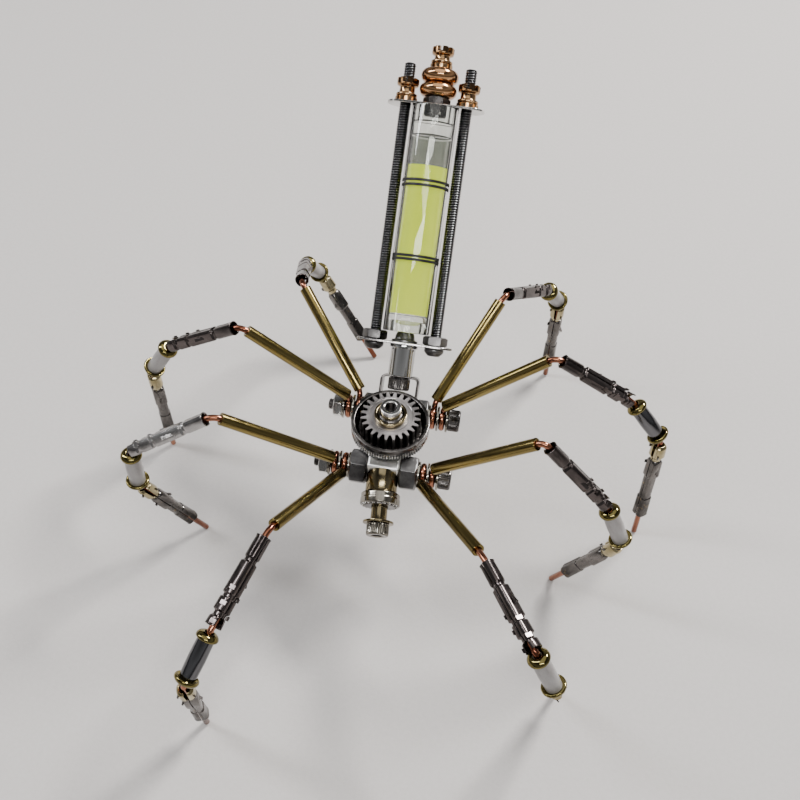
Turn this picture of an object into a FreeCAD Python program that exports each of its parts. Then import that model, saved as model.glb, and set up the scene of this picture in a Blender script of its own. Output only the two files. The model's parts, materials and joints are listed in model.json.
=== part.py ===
"""Desk sculpture of an eight-legged spider made from clockwork, fasteners and wire.

The feet stand on Z = 0, the head points along -Y and the vial body rises to the rear.
"""
import FreeCAD, Part
import math
import os
import re
from types import SimpleNamespace

import Sketcher
from FreeCAD import Placement, Rotation, Vector

# Driving dimensions, millimetres and degrees. Each becomes an aliased cell of the sheet.
SIZES = {
    # hub: the milled block, its two cross bolts and what is threaded on them
    "hub_x": -0.84, "hub_y": -2.16, "axle_height": 32.4, "axle_offset": 9.0,
    "block_width": 8.0, "block_height": 8.2, "block_nose": 11.5,
    "bolt_radius": 1.5, "bolt_fit": 0.05, "head_radius": 2.75, "head_height": 3.0,
    "socket_across": 2.5, "socket_depth": 1.6, "bolt_tail": 1.3,
    "flank_across": 7.8, "flank_inside": 5.05, "flank_outside": 8.3,
    "washer_radius": 3.2, "washer_thick": 0.55, "wire_radius": 0.75, "eye_gap": 0.1,
    "nut_across": 5.5, "nut_height": 2.4,
    # clockwork on top of the block
    "dish_rim_radius": 9.65, "dish_base_radius": 8.8, "dish_height": 4.2, "dish_floor": 1.4,
    "dish_inner_radius": 8.7, "dish_flare_height": 1.9,
    "gear_teeth": 24, "gear_tip_radius": 7.35, "gear_root_radius": 6.1, "gear_thick": 4.6,
    "tooth_root_width": 1.05, "tooth_tip_width": 0.6, "gear_lift": 0.1, "stud_radius": 2.0,
    "gear_bore_radius": 2.05,
    "cup_radius": 4.0, "cup_inner_radius": 3.3, "cup_height": 0.9, "cup_floor": 0.3,
    "cap_radius": 2.6, "cap_height": 3.0, "cap_socket_across": 2.6,
    # head: a brass neck, a ball race and a cap screw, drooping and turned a little from -Y
    "head_droop": 21.0, "head_turn": 4.5, "neck_rise": 0.2,
    "neck_radius": 3.85, "neck_length": 3.9,
    "race_radius": 4.87, "race_length": 3.4, "race_bore": 2.05, "race_gap": 0.1,
    "snout_radius": 2.0, "snout_length": 3.4, "snout_washer_radius": 3.75,
    # waist: the clevis that carries the rear body
    "body_pitch": 42.5, "clevis_gap": 0.35, "clevis_sheet": 0.6, "clevis_reach": 9.0,
    "clevis_rise": 2.0, "clevis_half_base": 3.0, "clevis_half_eye": 2.4,
    "waist_radius": 3.1, "waist_length": 7.9, "waist_bore": 1.6,
    # rear body: two plates, two tie rods and the level vial between them
    "plate_thick": 0.6, "plate_length": 24.3, "plate_width": 7.0, "rod_offset": 7.65,
    "rod_head_radius": 2.5, "rod_head_height": 2.0, "plate_gap": 58.6, "rod_above_nut": 3.8,
    "rod_neck_radius": 1.3, "dome_radius": 2.5, "dome_start": 1.0, "dome_flange_radius": 3.3,
    "dome_flange": 0.6,
    "vial_radius": 5.9, "vial_bore": 4.9, "vial_foot_gap": 2.5, "plug_recess": 3.4,
    "foot_plug": 4.6, "foot_recess": 3.0, "crown_plug": 7.4, "crown_recess": 4.2,
    "thumb_radius": 2.75, "thumb_height": 5.8, "thumb_length": 5.7, "thumb_waist_radius": 1.9, "thumb_rim": 1.5,
    # finial on the upper plate
    "finial_nut_across": 6.0, "finial_nut_height": 1.9, "finial_ring_radius": 4.7,
    "finial_ring_height": 3.5, "finial_post_height": 5.3,
    # legs
    "near_eye": 9.7, "far_eye": 12.1, "eye_rise": 4.4, "tube_radius": 1.5, "tube_bore": 0.8,
    "tube_start": 0.3, "knee_bare": 2.0, "knee_tip_radius": 0.3, "knee_tip": 0.85,
    "knee_shoulder": 1.9, "crimp_span": 24.3, "shin_span": 13.8,
    "sleeve_start": 2.0, "sleeve_length": 5.4, "sleeve_radius": 1.6,
    "blade_radius": 1.9, "blade_sheet": 0.5, "blade_end_gap": 2.6, "blade_slot": 1.2,
    "shin_radius": 2.05, "collar_radius": 2.6, "lower_collar_radius": 2.9, "collar_length": 1.6,
    "collar_start": 0.7, "foot_blade_start": 3.4, "foot_bare": 8.3,
}
size = SimpleNamespace(**SIZES)

# One row per leg: side (+1 is +X), axle (+1 is the rear bolt), eye alias, femur length, then
# azimuth and pitch of femur, knee terminal, shin and foot. Azimuth runs from straight
# outwards towards the rear, pitch from level upwards.
LEGS = {
    "right_rear": (-1, 1, "near_eye", 32.0, (47, 29), (79, -33), (107, -53), (200, -55)),
    "right_midrear": (-1, 1, "far_eye", 33.5, (-1, 39), (7, -34), (7, -60), (183, -88)),
    "right_midfront": (-1, -1, "far_eye", 33.0, (-15, 35), (-11, -32), (-11, -89), (147, -64)),
    "right_front": (-1, -1, "near_eye", 31.5, (-68, 24), (-71, -16), (-65, -40), (90, -81)),
    "left_rear": (1, 1, "near_eye", 32.0, (56, 40), (57, -33), (58, -53), (59, -89)),
    "left_midrear": (1, 1, "far_eye", 33.0, (6, 40), (1, -32), (-13, -48), (-89, -81)),
    "left_midfront": (1, -1, "far_eye", 33.0, (-10, 42), (-9, -45), (-12, -65), (162, -64)),
    "left_front": (1, -1, "near_eye", 31.5, (-56, 21), (-57, -2), (-16, -63), (76, -65)),
}

X_AXIS, Y_AXIS, Z_AXIS = Vector(1, 0, 0), Vector(0, 1, 0), Vector(0, 0, 1)
ORIGIN = Vector(0, 0, 0)
HUB = Vector(size.hub_x, size.hub_y, size.axle_height)

doc = FreeCAD.newDocument("ClockworkSpider")
nodes = []


def fill_sheet():
    """Write the driving dimensions as numbers in text, one aliased cell each."""
    sheet = doc.addObject("Spreadsheet::Sheet", "Sizes")
    for row, (alias, value) in enumerate(SIZES.items(), start=1):
        sheet.set(f"A{row}", alias)
        sheet.set(f"B{row}", str(value))
        sheet.setAlias(f"B{row}", alias)
    doc.recompute()


def bind(item, **expressions):
    """Drive properties of an object from words of the sheet."""
    for prop, expression in expressions.items():
        text = re.sub(r"[a-z]\w*", lambda word: "Sizes." + word.group(), expression)
        item.setExpression(prop, text)
    return item


def primitive(kind, place=Placement(), **expressions):
    """A Part primitive with its sizes bound to the sheet."""
    item = doc.addObject("Part::" + kind, kind)
    item.Placement = place
    return bind(item, **expressions)


def cylinder(radius, length, place=Placement()):
    return primitive("Cylinder", place, Radius=radius, Height=length)


def hexagon(across, length, place=Placement()):
    """A hexagonal prism given by the width across its flats."""
    item = primitive("Prism", place, Circumradius=f"({across}) * 0.57735", Height=length)
    item.Polygon = 6
    return item


def fuse(*items):
    result = doc.addObject("Part::MultiFuse", "Fuse")
    result.Shapes = list(items)
    return result


def cut(base, *tools):
    result = doc.addObject("Part::Cut", "Cut")
    result.Base = base
    result.Tool = tools[0] if len(tools) == 1 else fuse(*tools)
    return result


def group(*items):
    """Separate solids that share a node."""
    result = doc.addObject("Part::Compound", "Group")
    result.Links = list(items)
    return result


def node(label, item, place=Placement()):
    """Name a finished sub-part and put it in its place."""
    item.Label = label
    item.Placement = place
    nodes.append(item)
    return item


def along(direction, start=ORIGIN, side=None):
    """Placement that turns local Z to a direction, and local X towards a side if given."""
    if side is None:
        return Placement(start, Rotation(Z_AXIS, direction))
    return Placement(start, Rotation(side, Vector(), direction, "ZXY"))


def on_hub(offset=ORIGIN, rotation=Rotation()):
    return Placement(HUB + offset, rotation)


# ---------------------------------------------------------------- sketches for PartDesign

def base_sketch(body, name, role, lift=None):
    """A sketch on one of the body's own origin planes, lifted by a cell if wanted."""
    sketch = body.newObject("Sketcher::SketchObject", name)
    plane = next(o for o in body.Origin.OriginFeatures if o.Role == role)
    sketch.AttachmentSupport = (plane, [""])
    sketch.MapMode = "FlatFace"
    if lift:
        bind(sketch, **{"AttachmentOffset.Base.z": lift})
    return sketch


def add_circle(sketch, radius_alias):
    index = sketch.addGeometry(Part.Circle(ORIGIN, Z_AXIS, SIZES[radius_alias]), False)
    sketch.addConstraint(Sketcher.Constraint("Coincident", index, 3, -1, 1))
    sketch.addConstraint(Sketcher.Constraint("Radius", index, SIZES[radius_alias]))
    bind(sketch, **{f"Constraints[{sketch.ConstraintCount - 1}]": radius_alias})


def add_outline(sketch, corners):
    """A closed outline whose corners are pairs of expressions worked out from the sheet."""
    points = [Vector(x, y, 0) for x, y, _, _ in corners]
    for index, point in enumerate(points):
        following = points[(index + 1) % len(points)]
        sketch.addGeometry(Part.LineSegment(point, following), False)
    for index in range(len(points)):
        following = (index + 1) % len(points)
        sketch.addConstraint(Sketcher.Constraint("Coincident", index, 2, following, 1))
    for index, (x, y, x_words, y_words) in enumerate(corners):
        for kind, value, words in (("DistanceX", x, x_words), ("DistanceY", y, y_words)):
            sketch.addConstraint(Sketcher.Constraint(kind, -1, 1, index, 1, value))
            bind(sketch, **{f"Constraints[{sketch.ConstraintCount - 1}]": words})


def revolve_body(name, corners):
    """A turned piece: its half section in the XZ plane, spun about Z."""
    body = doc.addObject("PartDesign::Body", name)
    sketch = base_sketch(body, name + "Section", "XZ_Plane")
    add_outline(sketch, corners)
    turned = body.newObject("PartDesign::Revolution", name + "Turn")
    turned.Profile = sketch
    turned.ReferenceAxis = (sketch, ["V_Axis"])
    turned.Angle = 360.0
    return body


# ---------------------------------------------------------------- fasteners

def cap_screw(length, socket="socket_across"):
    """Socket head cap screw: the shank runs down from Z = 0, the head stands on it."""
    shank = cylinder("bolt_radius", length, along(Vector(0, 0, -1)))
    head = cylinder("head_radius", "head_height")
    well = hexagon(socket, "socket_depth + 1")
    bind(well, **{"Placement.Base.z": "head_height - socket_depth"})
    return cut(fuse(shank, head), well)


def hex_nut(across, height, bore, place=Placement()):
    return cut(hexagon(across, height, place), cylinder(bore, height, place))


def washer(radius, bore, thick, place=Placement()):
    return cut(cylinder(radius, thick, place), cylinder(bore, thick, place))


# ---------------------------------------------------------------- hub

def axle_stack():
    """Inner faces, along the bolt, of the washers that space the two wire eyes."""
    eye_half = size.wire_radius + size.eye_gap
    inner = size.flank_outside
    middle = size.near_eye + eye_half + 0.05
    outer = size.far_eye + eye_half + 0.05
    return inner, middle, outer


def build_hub():
    half_height = size.block_height / 2
    bar = primitive("Box", Placement(Vector(-size.block_width / 2, -size.block_nose, -half_height),
                                     Rotation()),
                    Length="block_width", Height="block_height",
                    Width="block_nose + axle_offset")
    rear_end = cylinder("block_height / 2", "block_width",
                        along(X_AXIS, Vector(-size.block_width / 2, size.axle_offset, 0)))
    bores = [cylinder("bolt_radius", "block_width",
                      along(X_AXIS, Vector(-size.block_width / 2, y, 0)))
             for y in (-size.axle_offset, size.axle_offset)]
    stud_bore = cylinder("bolt_radius", "block_height / 2", Placement())
    node("hub_block", cut(fuse(bar, rear_end), *bores, stud_bore), on_hub())

    inner, middle, outer = axle_stack()
    head_face = outer + size.washer_thick
    washers, nuts, bolts = [], [], []
    for y in (-size.axle_offset, size.axle_offset):
        bolt = cap_screw(f"{2 * head_face} + nut_height + bolt_tail")
        bolt.Placement = along(X_AXIS, Vector(head_face, y, 0))
        bolts.append(bolt)
        for side in (-1, 1):
            outward = Vector(side, 0, 0)
            inside = size.block_width / 2 if y < 0 else size.flank_inside
            flank = hexagon("flank_across", f"flank_outside - {inside}",
                            along(outward, Vector(side * inside, y, 0), Y_AXIS))
            bore = cylinder("bolt_radius", f"flank_outside - {inside}",
                            along(outward, Vector(side * inside, y, 0)))
            nuts.append(cut(flank, bore))
            for face in (inner, middle, outer):
                washers.append(washer("washer_radius", "bolt_radius", "washer_thick",
                                      along(outward, Vector(side * face, y, 0))))
        nuts.append(hex_nut("nut_across", "nut_height", "bolt_radius",
                            along(-X_AXIS, Vector(-head_face, y, 0))))
    node("axle_bolts", group(*bolts), on_hub())
    node("axle_washers", group(*washers), on_hub())
    node("axle_nuts", group(*nuts), on_hub())


def build_clockwork():
    """The dish on the block, the gear that spins in it, and the screw that holds both."""
    top = size.block_height / 2
    rim, base = size.dish_rim_radius, size.dish_base_radius
    flare = size.dish_height - size.dish_flare_height
    corners = [
        (size.bolt_radius, 0, "bolt_radius", "0"),
        (base, 0, "dish_base_radius", "0"),
        (base, flare, "dish_base_radius", "dish_height - dish_flare_height"),
        (rim, flare + 0.5, "dish_rim_radius", "dish_height - dish_flare_height + 0.5"),
        (rim, size.dish_height, "dish_rim_radius", "dish_height"),
        (size.dish_inner_radius, size.dish_height, "dish_inner_radius", "dish_height"),
        (base - 0.9, size.dish_floor, "dish_base_radius - 0.9", "dish_floor"),
        (size.bolt_radius, size.dish_floor, "bolt_radius", "dish_floor"),
    ]
    node("gear_dish", revolve_body("Dish", corners), on_hub(Vector(0, 0, top)))

    gear = doc.addObject("PartDesign::Body", "Gear")
    blank = base_sketch(gear, "GearBlank", "XY_Plane")
    add_circle(blank, "gear_root_radius")
    add_circle(blank, "gear_bore_radius")
    disc = gear.newObject("PartDesign::Pad", "GearDisc")
    disc.Profile = blank
    bind(disc, Length="gear_thick")
    tooth = base_sketch(gear, "Tooth", "XY_Plane")
    root, tip = size.gear_root_radius - 0.3, size.gear_tip_radius
    wide, narrow = size.tooth_root_width / 2, size.tooth_tip_width / 2
    add_outline(tooth, [
        (root, -wide, "gear_root_radius - 0.3", "-tooth_root_width / 2"),
        (tip, -narrow, "gear_tip_radius", "-tooth_tip_width / 2"),
        (tip, narrow, "gear_tip_radius", "tooth_tip_width / 2"),
        (root, wide, "gear_root_radius - 0.3", "tooth_root_width / 2"),
    ])
    tooth_pad = gear.newObject("PartDesign::Pad", "ToothPad")
    tooth_pad.Profile = tooth
    bind(tooth_pad, Length="gear_thick")
    doc.recompute()
    ring = gear.newObject("PartDesign::PolarPattern", "Teeth")
    ring.Originals = [tooth_pad]
    axis = next(o for o in gear.Origin.OriginFeatures if o.Role == "Z_Axis")
    ring.Axis = (axis, [""])
    ring.Angle = 360.0
    ring.Occurrences = int(size.gear_teeth)
    gear.Tip = ring
    gear_base = top + size.dish_floor + size.gear_lift
    node("spur_gear", gear, on_hub(Vector(0, 0, gear_base)))

    cup_base = gear_base + size.gear_thick + size.gear_lift
    cup = cut(cylinder("cup_radius", "cup_height"),
              cylinder("cup_inner_radius", "cup_height",
                       Placement(Vector(0, 0, size.cup_floor), Rotation())),
              cylinder("stud_radius", "cup_height"))
    node("gear_cup_washer", cup, on_hub(Vector(0, 0, cup_base)))

    cap_base = cup_base + size.cup_floor
    stud_length = f"{cap_base - top - size.dish_floor}"
    tail = cylinder("bolt_radius", f"dish_floor + {top}",
                    Placement(Vector(0, 0, -cap_base), Rotation()))
    stud = cylinder("stud_radius", stud_length,
                    Placement(Vector(0, 0, top + size.dish_floor - cap_base), Rotation()))
    cap = cylinder("cap_radius", "cap_height")
    well = hexagon("cap_socket_across", "cap_height",
                   Placement(Vector(0, 0, size.cap_height / 2), Rotation()))
    node("gear_screw", cut(fuse(tail, stud, cap), well), on_hub(Vector(0, 0, cap_base)))


def build_head():
    """Neck, ball race, snout sleeve, washer and the screw through them, drooping from the nose."""
    droop, turn = math.radians(size.head_droop), math.radians(size.head_turn)
    forward = Vector(math.sin(turn) * math.cos(droop), -math.cos(turn) * math.cos(droop),
                     -math.sin(droop))
    nose = Vector(0, -size.block_nose, size.neck_rise)

    def at(distance):
        return on_hub(nose + forward * distance, Rotation(Z_AXIS, forward))

    def against_nose(shape, distance):
        """Cut off what would run into the block: the nose is upright, the axis isn't."""
        place = at(distance).inverse() * on_hub(Vector(-10, -size.block_nose, -10))
        slab = primitive("Box", place)
        slab.Length, slab.Width, slab.Height = 20, 20, 20
        return cut(shape, slab)

    overlap = 2.0
    neck = washer("neck_radius", "bolt_radius", f"neck_length + {overlap}")
    node("neck_tube", against_nose(neck, -overlap), at(-overlap))
    race_start = size.neck_length + size.race_gap
    node("head_race", washer("race_radius", "race_bore", "race_length"), at(race_start))
    spacer = "race_length + 2 * race_gap"
    snout_start = race_start + size.race_length + size.race_gap
    snout = cylinder("snout_radius", f"snout_length + {spacer}")
    node("snout_sleeve", cut(snout, cylinder("bolt_radius", f"snout_length + {spacer}")),
         at(size.neck_length))
    tip = snout_start + size.snout_length
    node("snout_washer", washer("snout_washer_radius", "bolt_radius", "washer_thick"), at(tip))
    face = tip + size.washer_thick
    screw = cap_screw(f"{face + overlap}")
    node("snout_screw", against_nose(screw, face), at(face))


# ---------------------------------------------------------------- waist and rear body

def on_body(distance, rotation=Rotation(), lift=True):
    """A place on the rear body's axis, measured from the rear bolt."""
    pitch = math.radians(size.body_pitch)
    axis = Vector(0, math.cos(pitch), math.sin(pitch))
    up = Vector(0, -math.sin(pitch), math.cos(pitch))
    start = HUB + Vector(0, size.axle_offset, 0) + axis * distance
    if lift:
        start += up * size.clevis_rise
    return Placement(start, Rotation(X_AXIS, Vector(), axis, "ZXY") * rotation)


def build_waist():
    """Clevis: two arms from the bolt to a base that the body screw clamps to the tube."""
    inner = size.block_width / 2 + size.clevis_gap
    outer = inner + size.clevis_sheet
    low = size.clevis_half_eye
    base_low = size.clevis_half_base - size.clevis_rise
    base_high = size.clevis_half_base + size.clevis_rise
    reach = size.clevis_reach

    def arm(x):
        """Flat arm in the plane across the bolt: round eye, straight flanks, square end."""
        down = Part.LineSegment(Vector(x, low, 0), Vector(x, base_low, reach))
        end = Part.LineSegment(Vector(x, base_low, reach), Vector(x, -base_high, reach))
        back = Part.LineSegment(Vector(x, -base_high, reach), Vector(x, -low, 0))
        eye = Part.Arc(Vector(x, -low, 0), Vector(x, 0, -low), Vector(x, low, 0))
        face = Part.Face(Part.Wire([piece.toShape() for piece in (down, end, back, eye)]))
        return face.extrude(X_AXIS * size.clevis_sheet)

    base = Part.makeBox(2 * outer, base_low + base_high, size.clevis_sheet,
                        Vector(-outer, -base_high, reach))
    hole = Part.makeCylinder(size.waist_bore, size.clevis_sheet,
                             Vector(0, -size.clevis_rise, reach), Z_AXIS)
    pivot = Part.makeCylinder(size.bolt_radius + size.bolt_fit, 2 * outer,
                              Vector(-outer, 0, 0), X_AXIS)
    shape = base.fuse([arm(-outer), arm(inner)]).cut([hole, pivot]).removeSplitter()
    clevis = doc.addObject("Part::Feature", "Clevis")
    clevis.Shape = shape
    node("waist_clevis", clevis, on_body(0, lift=False))

    tube_start = reach + size.clevis_sheet
    node("waist_tube", washer("waist_radius", "waist_bore", "waist_length"), on_body(tube_start))
    return tube_start + size.waist_length


def plate(centre_bore):
    """Long thin plate with round ends, two rod holes and a centre hole."""
    half = size.plate_length / 2 - size.plate_width / 2
    slab = primitive("Box", Placement(Vector(-half, -size.plate_width / 2, 0), Rotation()),
                     Length="plate_length - plate_width", Width="plate_width",
                     Height="plate_thick")
    ends = [cylinder("plate_width / 2", "plate_thick", Placement(Vector(x, 0, 0), Rotation()))
            for x in (-half, half)]
    holes = [cylinder("bolt_radius", "plate_thick", Placement(Vector(x, 0, 0), Rotation()))
             for x in (-size.rod_offset, size.rod_offset)]
    return cut(fuse(slab, *ends), cylinder(centre_bore, "plate_thick"), *holes)


def dome_nut():
    """Flanged dome nut on the waist screw, standing in the foot of the vial."""
    top = Placement(Vector(0, 0, size.dome_start), Rotation())
    dome = primitive("Sphere", top, Radius="dome_radius")
    dome.Angle1 = 0
    body = fuse(cylinder("dome_flange_radius", "dome_flange"),
                cylinder("dome_radius", "dome_start"), dome)
    return cut(body, cylinder("bolt_radius", "nut_height"))


def spool(height):
    """Turned nut with a waist between two rims; height names the cell that gives its length."""
    bore, waist = size.bolt_radius + size.bolt_fit, size.thumb_waist_radius
    rim, crown, top = size.thumb_rim, size.thumb_radius, SIZES[height]
    return revolve_body("Spool", [
        (bore, 0, "bolt_radius + bolt_fit", "0"),
        (crown, 0, "thumb_radius", "0"),
        (crown, rim, "thumb_radius", "thumb_rim"),
        (waist, rim, "thumb_waist_radius", "thumb_rim"),
        (waist, top - rim, "thumb_waist_radius", f"{height} - thumb_rim"),
        (crown, top - rim, "thumb_radius", f"{height} - thumb_rim"),
        (crown, top, "thumb_radius", height),
        (bore, top, "bolt_radius + bolt_fit", height),
    ])


def build_rear_body(plate_start):
    lower_top = plate_start + size.plate_thick
    upper_start = lower_top + size.plate_gap
    upper_top = upper_start + size.plate_thick
    node("lower_plate", plate("bolt_radius"), on_body(plate_start))
    node("upper_plate", plate("bolt_radius"), on_body(upper_start))

    # each tie rod is turned down where its thumb nut sits, and full size again at its free end
    nut_start = size.plate_gap + 2 * size.plate_thick
    end_start = nut_start + size.thumb_height
    rods, nuts = [], [dome_nut()]
    for x in (-size.rod_offset, size.rod_offset):
        head, foot, neck, end = (Placement(Vector(x, 0, height), Rotation())
                                 for height in (-size.rod_head_height, 0, nut_start, end_start))
        rods.append(fuse(cylinder("rod_head_radius", "rod_head_height", head),
                         cylinder("bolt_radius", "plate_gap + 2 * plate_thick", foot),
                         cylinder("rod_neck_radius", "thumb_height", neck),
                         cylinder("bolt_radius", "rod_above_nut", end)))
        nuts.append(hex_nut("nut_across", "nut_height", "bolt_radius", foot))
    node("tie_rods", group(*rods), on_body(plate_start))
    node("plate_nuts", group(*nuts), on_body(lower_top))
    for label, x in (("right", -size.rod_offset), ("left", size.rod_offset)):
        place = on_body(upper_top + 0.1)
        place.Base += X_AXIS * x
        node(f"{label}_thumb_nut", spool("thumb_length"), place)
    build_vial(lower_top, upper_start)
    build_finial(upper_top)
    build_body_screws(upper_start)


def build_vial(lower_top, upper_start):
    """Level vial: clear tube, two clear plugs with recesses, and the liquid between them."""
    foot = lower_top + size.vial_foot_gap
    length = "plate_gap - vial_foot_gap"
    node("vial_tube", washer("vial_radius", "vial_bore", length), on_body(foot))
    foot_plug = cut(cylinder("vial_bore", "foot_plug"), cylinder("plug_recess", "foot_recess"))
    span = size.plate_gap - size.vial_foot_gap
    crown_place = Placement(Vector(0, 0, span - size.crown_plug), Rotation())
    recess_place = Placement(Vector(0, 0, span - size.crown_recess), Rotation())
    crown_plug = cut(cylinder("vial_bore", "crown_plug", crown_place),
                     cylinder("plug_recess", "crown_recess", recess_place))
    node("vial_plugs", group(foot_plug, crown_plug), on_body(foot))
    node("vial_liquid", cylinder("vial_bore", f"{length} - foot_plug - crown_plug"),
         on_body(foot + size.foot_plug))


def build_finial(upper_top):
    """Nut, two fat copper rings and a brass post, held by a screw from inside the vial."""
    rings_start = upper_top + size.finial_nut_height
    post_start = rings_start + 2 * size.finial_ring_height
    node("finial_nut", hex_nut("finial_nut_across", "finial_nut_height", "bolt_radius"),
         on_body(upper_top))
    half = size.finial_ring_height / 2
    rings = []
    for turn in (0, 1):
        centre = Placement(Vector(0, 0, half + turn * size.finial_ring_height), Rotation())
        start = Placement(Vector(0, 0, turn * size.finial_ring_height), Rotation())
        core = "finial_ring_radius - finial_ring_height / 2"
        bulge = primitive("Torus", centre, Radius1=core, Radius2="finial_ring_height / 2")
        rings.append(cut(fuse(cylinder(core, "finial_ring_height", start), bulge),
                         cylinder("bolt_radius", "finial_ring_height", start)))
    node("finial_rings", group(*rings), on_body(rings_start))
    node("finial_post", spool("finial_post_height"), on_body(post_start))


def build_body_screws(upper_start):
    """Two cap screws on the body's axis: one holds the waist, the other the finial."""
    waist_screw = cap_screw("clevis_sheet + waist_length + plate_thick + nut_height")
    waist_screw.Placement = Placement(ORIGIN, Rotation(X_AXIS, 180))
    grip = "plate_thick + finial_nut_height + 2 * finial_ring_height + finial_post_height / 2"
    finial_screw = cap_screw(grip)
    finial_screw.Placement = Placement(Vector(0, 0, upper_start - size.clevis_reach),
                                       Rotation(X_AXIS, 180))
    node("body_screws", group(waist_screw, finial_screw), on_body(size.clevis_reach))


# ---------------------------------------------------------------- legs

def heading(side, azimuth, pitch):
    """Unit vector for a leg segment, azimuth from straight outwards towards the rear."""
    azimuth, pitch = math.radians(azimuth), math.radians(pitch)
    return Vector(side * math.cos(azimuth) * math.cos(pitch),
                  math.sin(azimuth) * math.cos(pitch), math.sin(pitch))


def leg_points(side, axle, eye, femur, *angles):
    """Eye centre, neck, knee, both collars and foot of one leg, and its segment headings."""
    eye_centre = HUB + Vector(side * SIZES[eye], axle * size.axle_offset, 0)
    thigh, crimp, shin, foot = (heading(side, *pair) for pair in angles)
    rise = thigh * femur
    rise = Vector(0, rise.y, rise.z + size.eye_rise)
    rise.normalize()
    neck = eye_centre + rise * size.eye_rise
    knee = neck + thigh * femur
    upper = knee + crimp * size.crimp_span
    lower = upper + shin * size.shin_span
    tip = lower + foot * (lower.z / -foot.z)
    return SimpleNamespace(eye=eye_centre, rise=rise, neck=neck, knee=knee, upper=upper,
                           lower=lower, tip=tip, thigh=thigh, crimp=crimp, shin=shin, foot=foot)


def rod(radius, start, end):
    """A cylinder between two points."""
    step = end - start
    return cylinder(radius, str(round(step.Length, 6)), along(step, start))


def blade(radius, length, start, direction, inner):
    """Folded terminal: a rolled sheet gripping the wire, open along a slot on one side."""
    side = Z_AXIS.cross(direction)
    side.normalize()
    place = along(direction, start, side)
    roll = cut(cylinder(radius, length, place), cylinder(inner, length, place))
    slot = primitive("Box", along(direction, start - side * (size.blade_slot / 2), side),
                     Length="blade_slot", Width="blade_radius * 2", Height=length)
    return cut(roll, slot)


def build_leg(name, row):
    leg = leg_points(*row)
    label = name + "_leg"

    # upper half: wire with its eye round the bolt, and the tube slipped over the wire
    eye_radius = "bolt_radius + bolt_fit + wire_radius"
    ring = primitive("Torus", along(X_AXIS), Radius1=eye_radius, Radius2="wire_radius")
    ring_start = leg.rise * (size.bolt_radius + size.bolt_fit + size.wire_radius)
    neck, knee = leg.neck - leg.eye, leg.knee - leg.eye
    bend = primitive("Sphere", Placement(neck, Rotation()), Radius="wire_radius")
    end = primitive("Sphere", Placement(knee, Rotation()), Radius="wire_radius")
    wire = fuse(ring, rod("wire_radius", ring_start, neck), bend,
                rod("wire_radius", neck, knee), end)
    node(label + "_hip_wire", wire, Placement(leg.eye, Rotation()))
    tube_length = f"{row[3]} - tube_start - knee_bare"
    tube_place = along(leg.thigh, leg.neck + leg.thigh * size.tube_start)
    node(label + "_femur_tube", washer("tube_radius", "wire_radius", tube_length), tube_place)

    # lower half: necked wire from the knee to the floor
    upper, lower, tip = leg.upper - leg.knee, leg.lower - leg.knee, leg.tip - leg.knee
    start = leg.crimp * size.knee_shoulder
    point = primitive("Cone", along(leg.crimp, leg.crimp * size.knee_tip),
                      Radius1="knee_tip_radius", Radius2="wire_radius",
                      Height="knee_shoulder - knee_tip")
    bends = [primitive("Sphere", Placement(place, Rotation()), Radius="wire_radius")
             for place in (upper, lower)]
    overrun = tip + leg.foot * 2
    lower_wire = fuse(point, rod("wire_radius", start, upper), bends[0],
                      rod("wire_radius", upper, lower), bends[1],
                      rod("wire_radius", lower, overrun))
    floor = primitive("Box", Placement(Vector(tip.x - 5, tip.y - 5, -leg.knee.z - 10),
                                       Rotation()))
    floor.Length, floor.Width, floor.Height = 10, 10, 10
    node(label + "_shin_wire", cut(lower_wire, floor), Placement(leg.knee, Rotation()))

    # lower half: what is threaded and crimped on that wire
    sleeve_place = along(leg.crimp, leg.crimp * size.sleeve_start)
    sleeve = washer("sleeve_radius", "wire_radius", "sleeve_length", sleeve_place)
    blade_start = size.sleeve_start + size.sleeve_length
    knee_blade = blade("blade_radius", f"crimp_span - blade_end_gap - {blade_start}",
                       leg.crimp * blade_start, leg.crimp, "wire_radius")
    shin_start = size.collar_start + size.collar_length
    tube = washer("shin_radius", "wire_radius", f"shin_span - 2 * {shin_start}",
                  along(leg.shin, upper + leg.shin * shin_start))
    collars = [washer(radius, "wire_radius", "collar_length",
                      along(leg.shin, upper + leg.shin * place))
               for radius, place in (("collar_radius", size.collar_start),
                                     ("lower_collar_radius", size.shin_span - shin_start))]
    foot_length = (leg.tip - leg.lower).Length
    foot_blade = blade("blade_radius", f"{round(foot_length, 4)} - foot_blade_start - foot_bare",
                       lower + leg.foot * size.foot_blade_start, leg.foot, "wire_radius")
    node(label + "_shin_fittings", group(fuse(sleeve, knee_blade), tube, *collars, foot_blade),
         Placement(leg.knee, Rotation()))


def check_document():
    """Stop on any object that failed, and on any sub-part that isn't sound."""
    for item in doc.Objects:
        if any(word in item.State for word in ("Invalid", "Error")):
            raise RuntimeError(f"{item.Name} failed: {item.State}")
    for item in nodes:
        shape = item.Shape
        if shape.isNull() or not shape.isValid() or not shape.Solids:
            raise RuntimeError(f"{item.Label} has no sound shape")


def main():
    fill_sheet()
    build_hub()
    build_clockwork()
    build_head()
    build_rear_body(build_waist())
    for name, row in LEGS.items():
        build_leg(name, row)
    doc.recompute()
    check_document()
    os.makedirs("parts", exist_ok=True)
    box = FreeCAD.BoundBox()
    for item in nodes:
        item.Shape.exportStep(f"parts/{item.Label}.step")
        box.add(item.Shape.optimalBoundingBox(False))
    print(len(nodes), "nodes,", round(sum(item.Shape.Volume for item in nodes)), "mm3")
    print("box", [round(v, 2) for v in (box.XMin, box.XMax, box.YMin, box.YMax, box.ZMin,
                                        box.ZMax)])


main()
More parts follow.
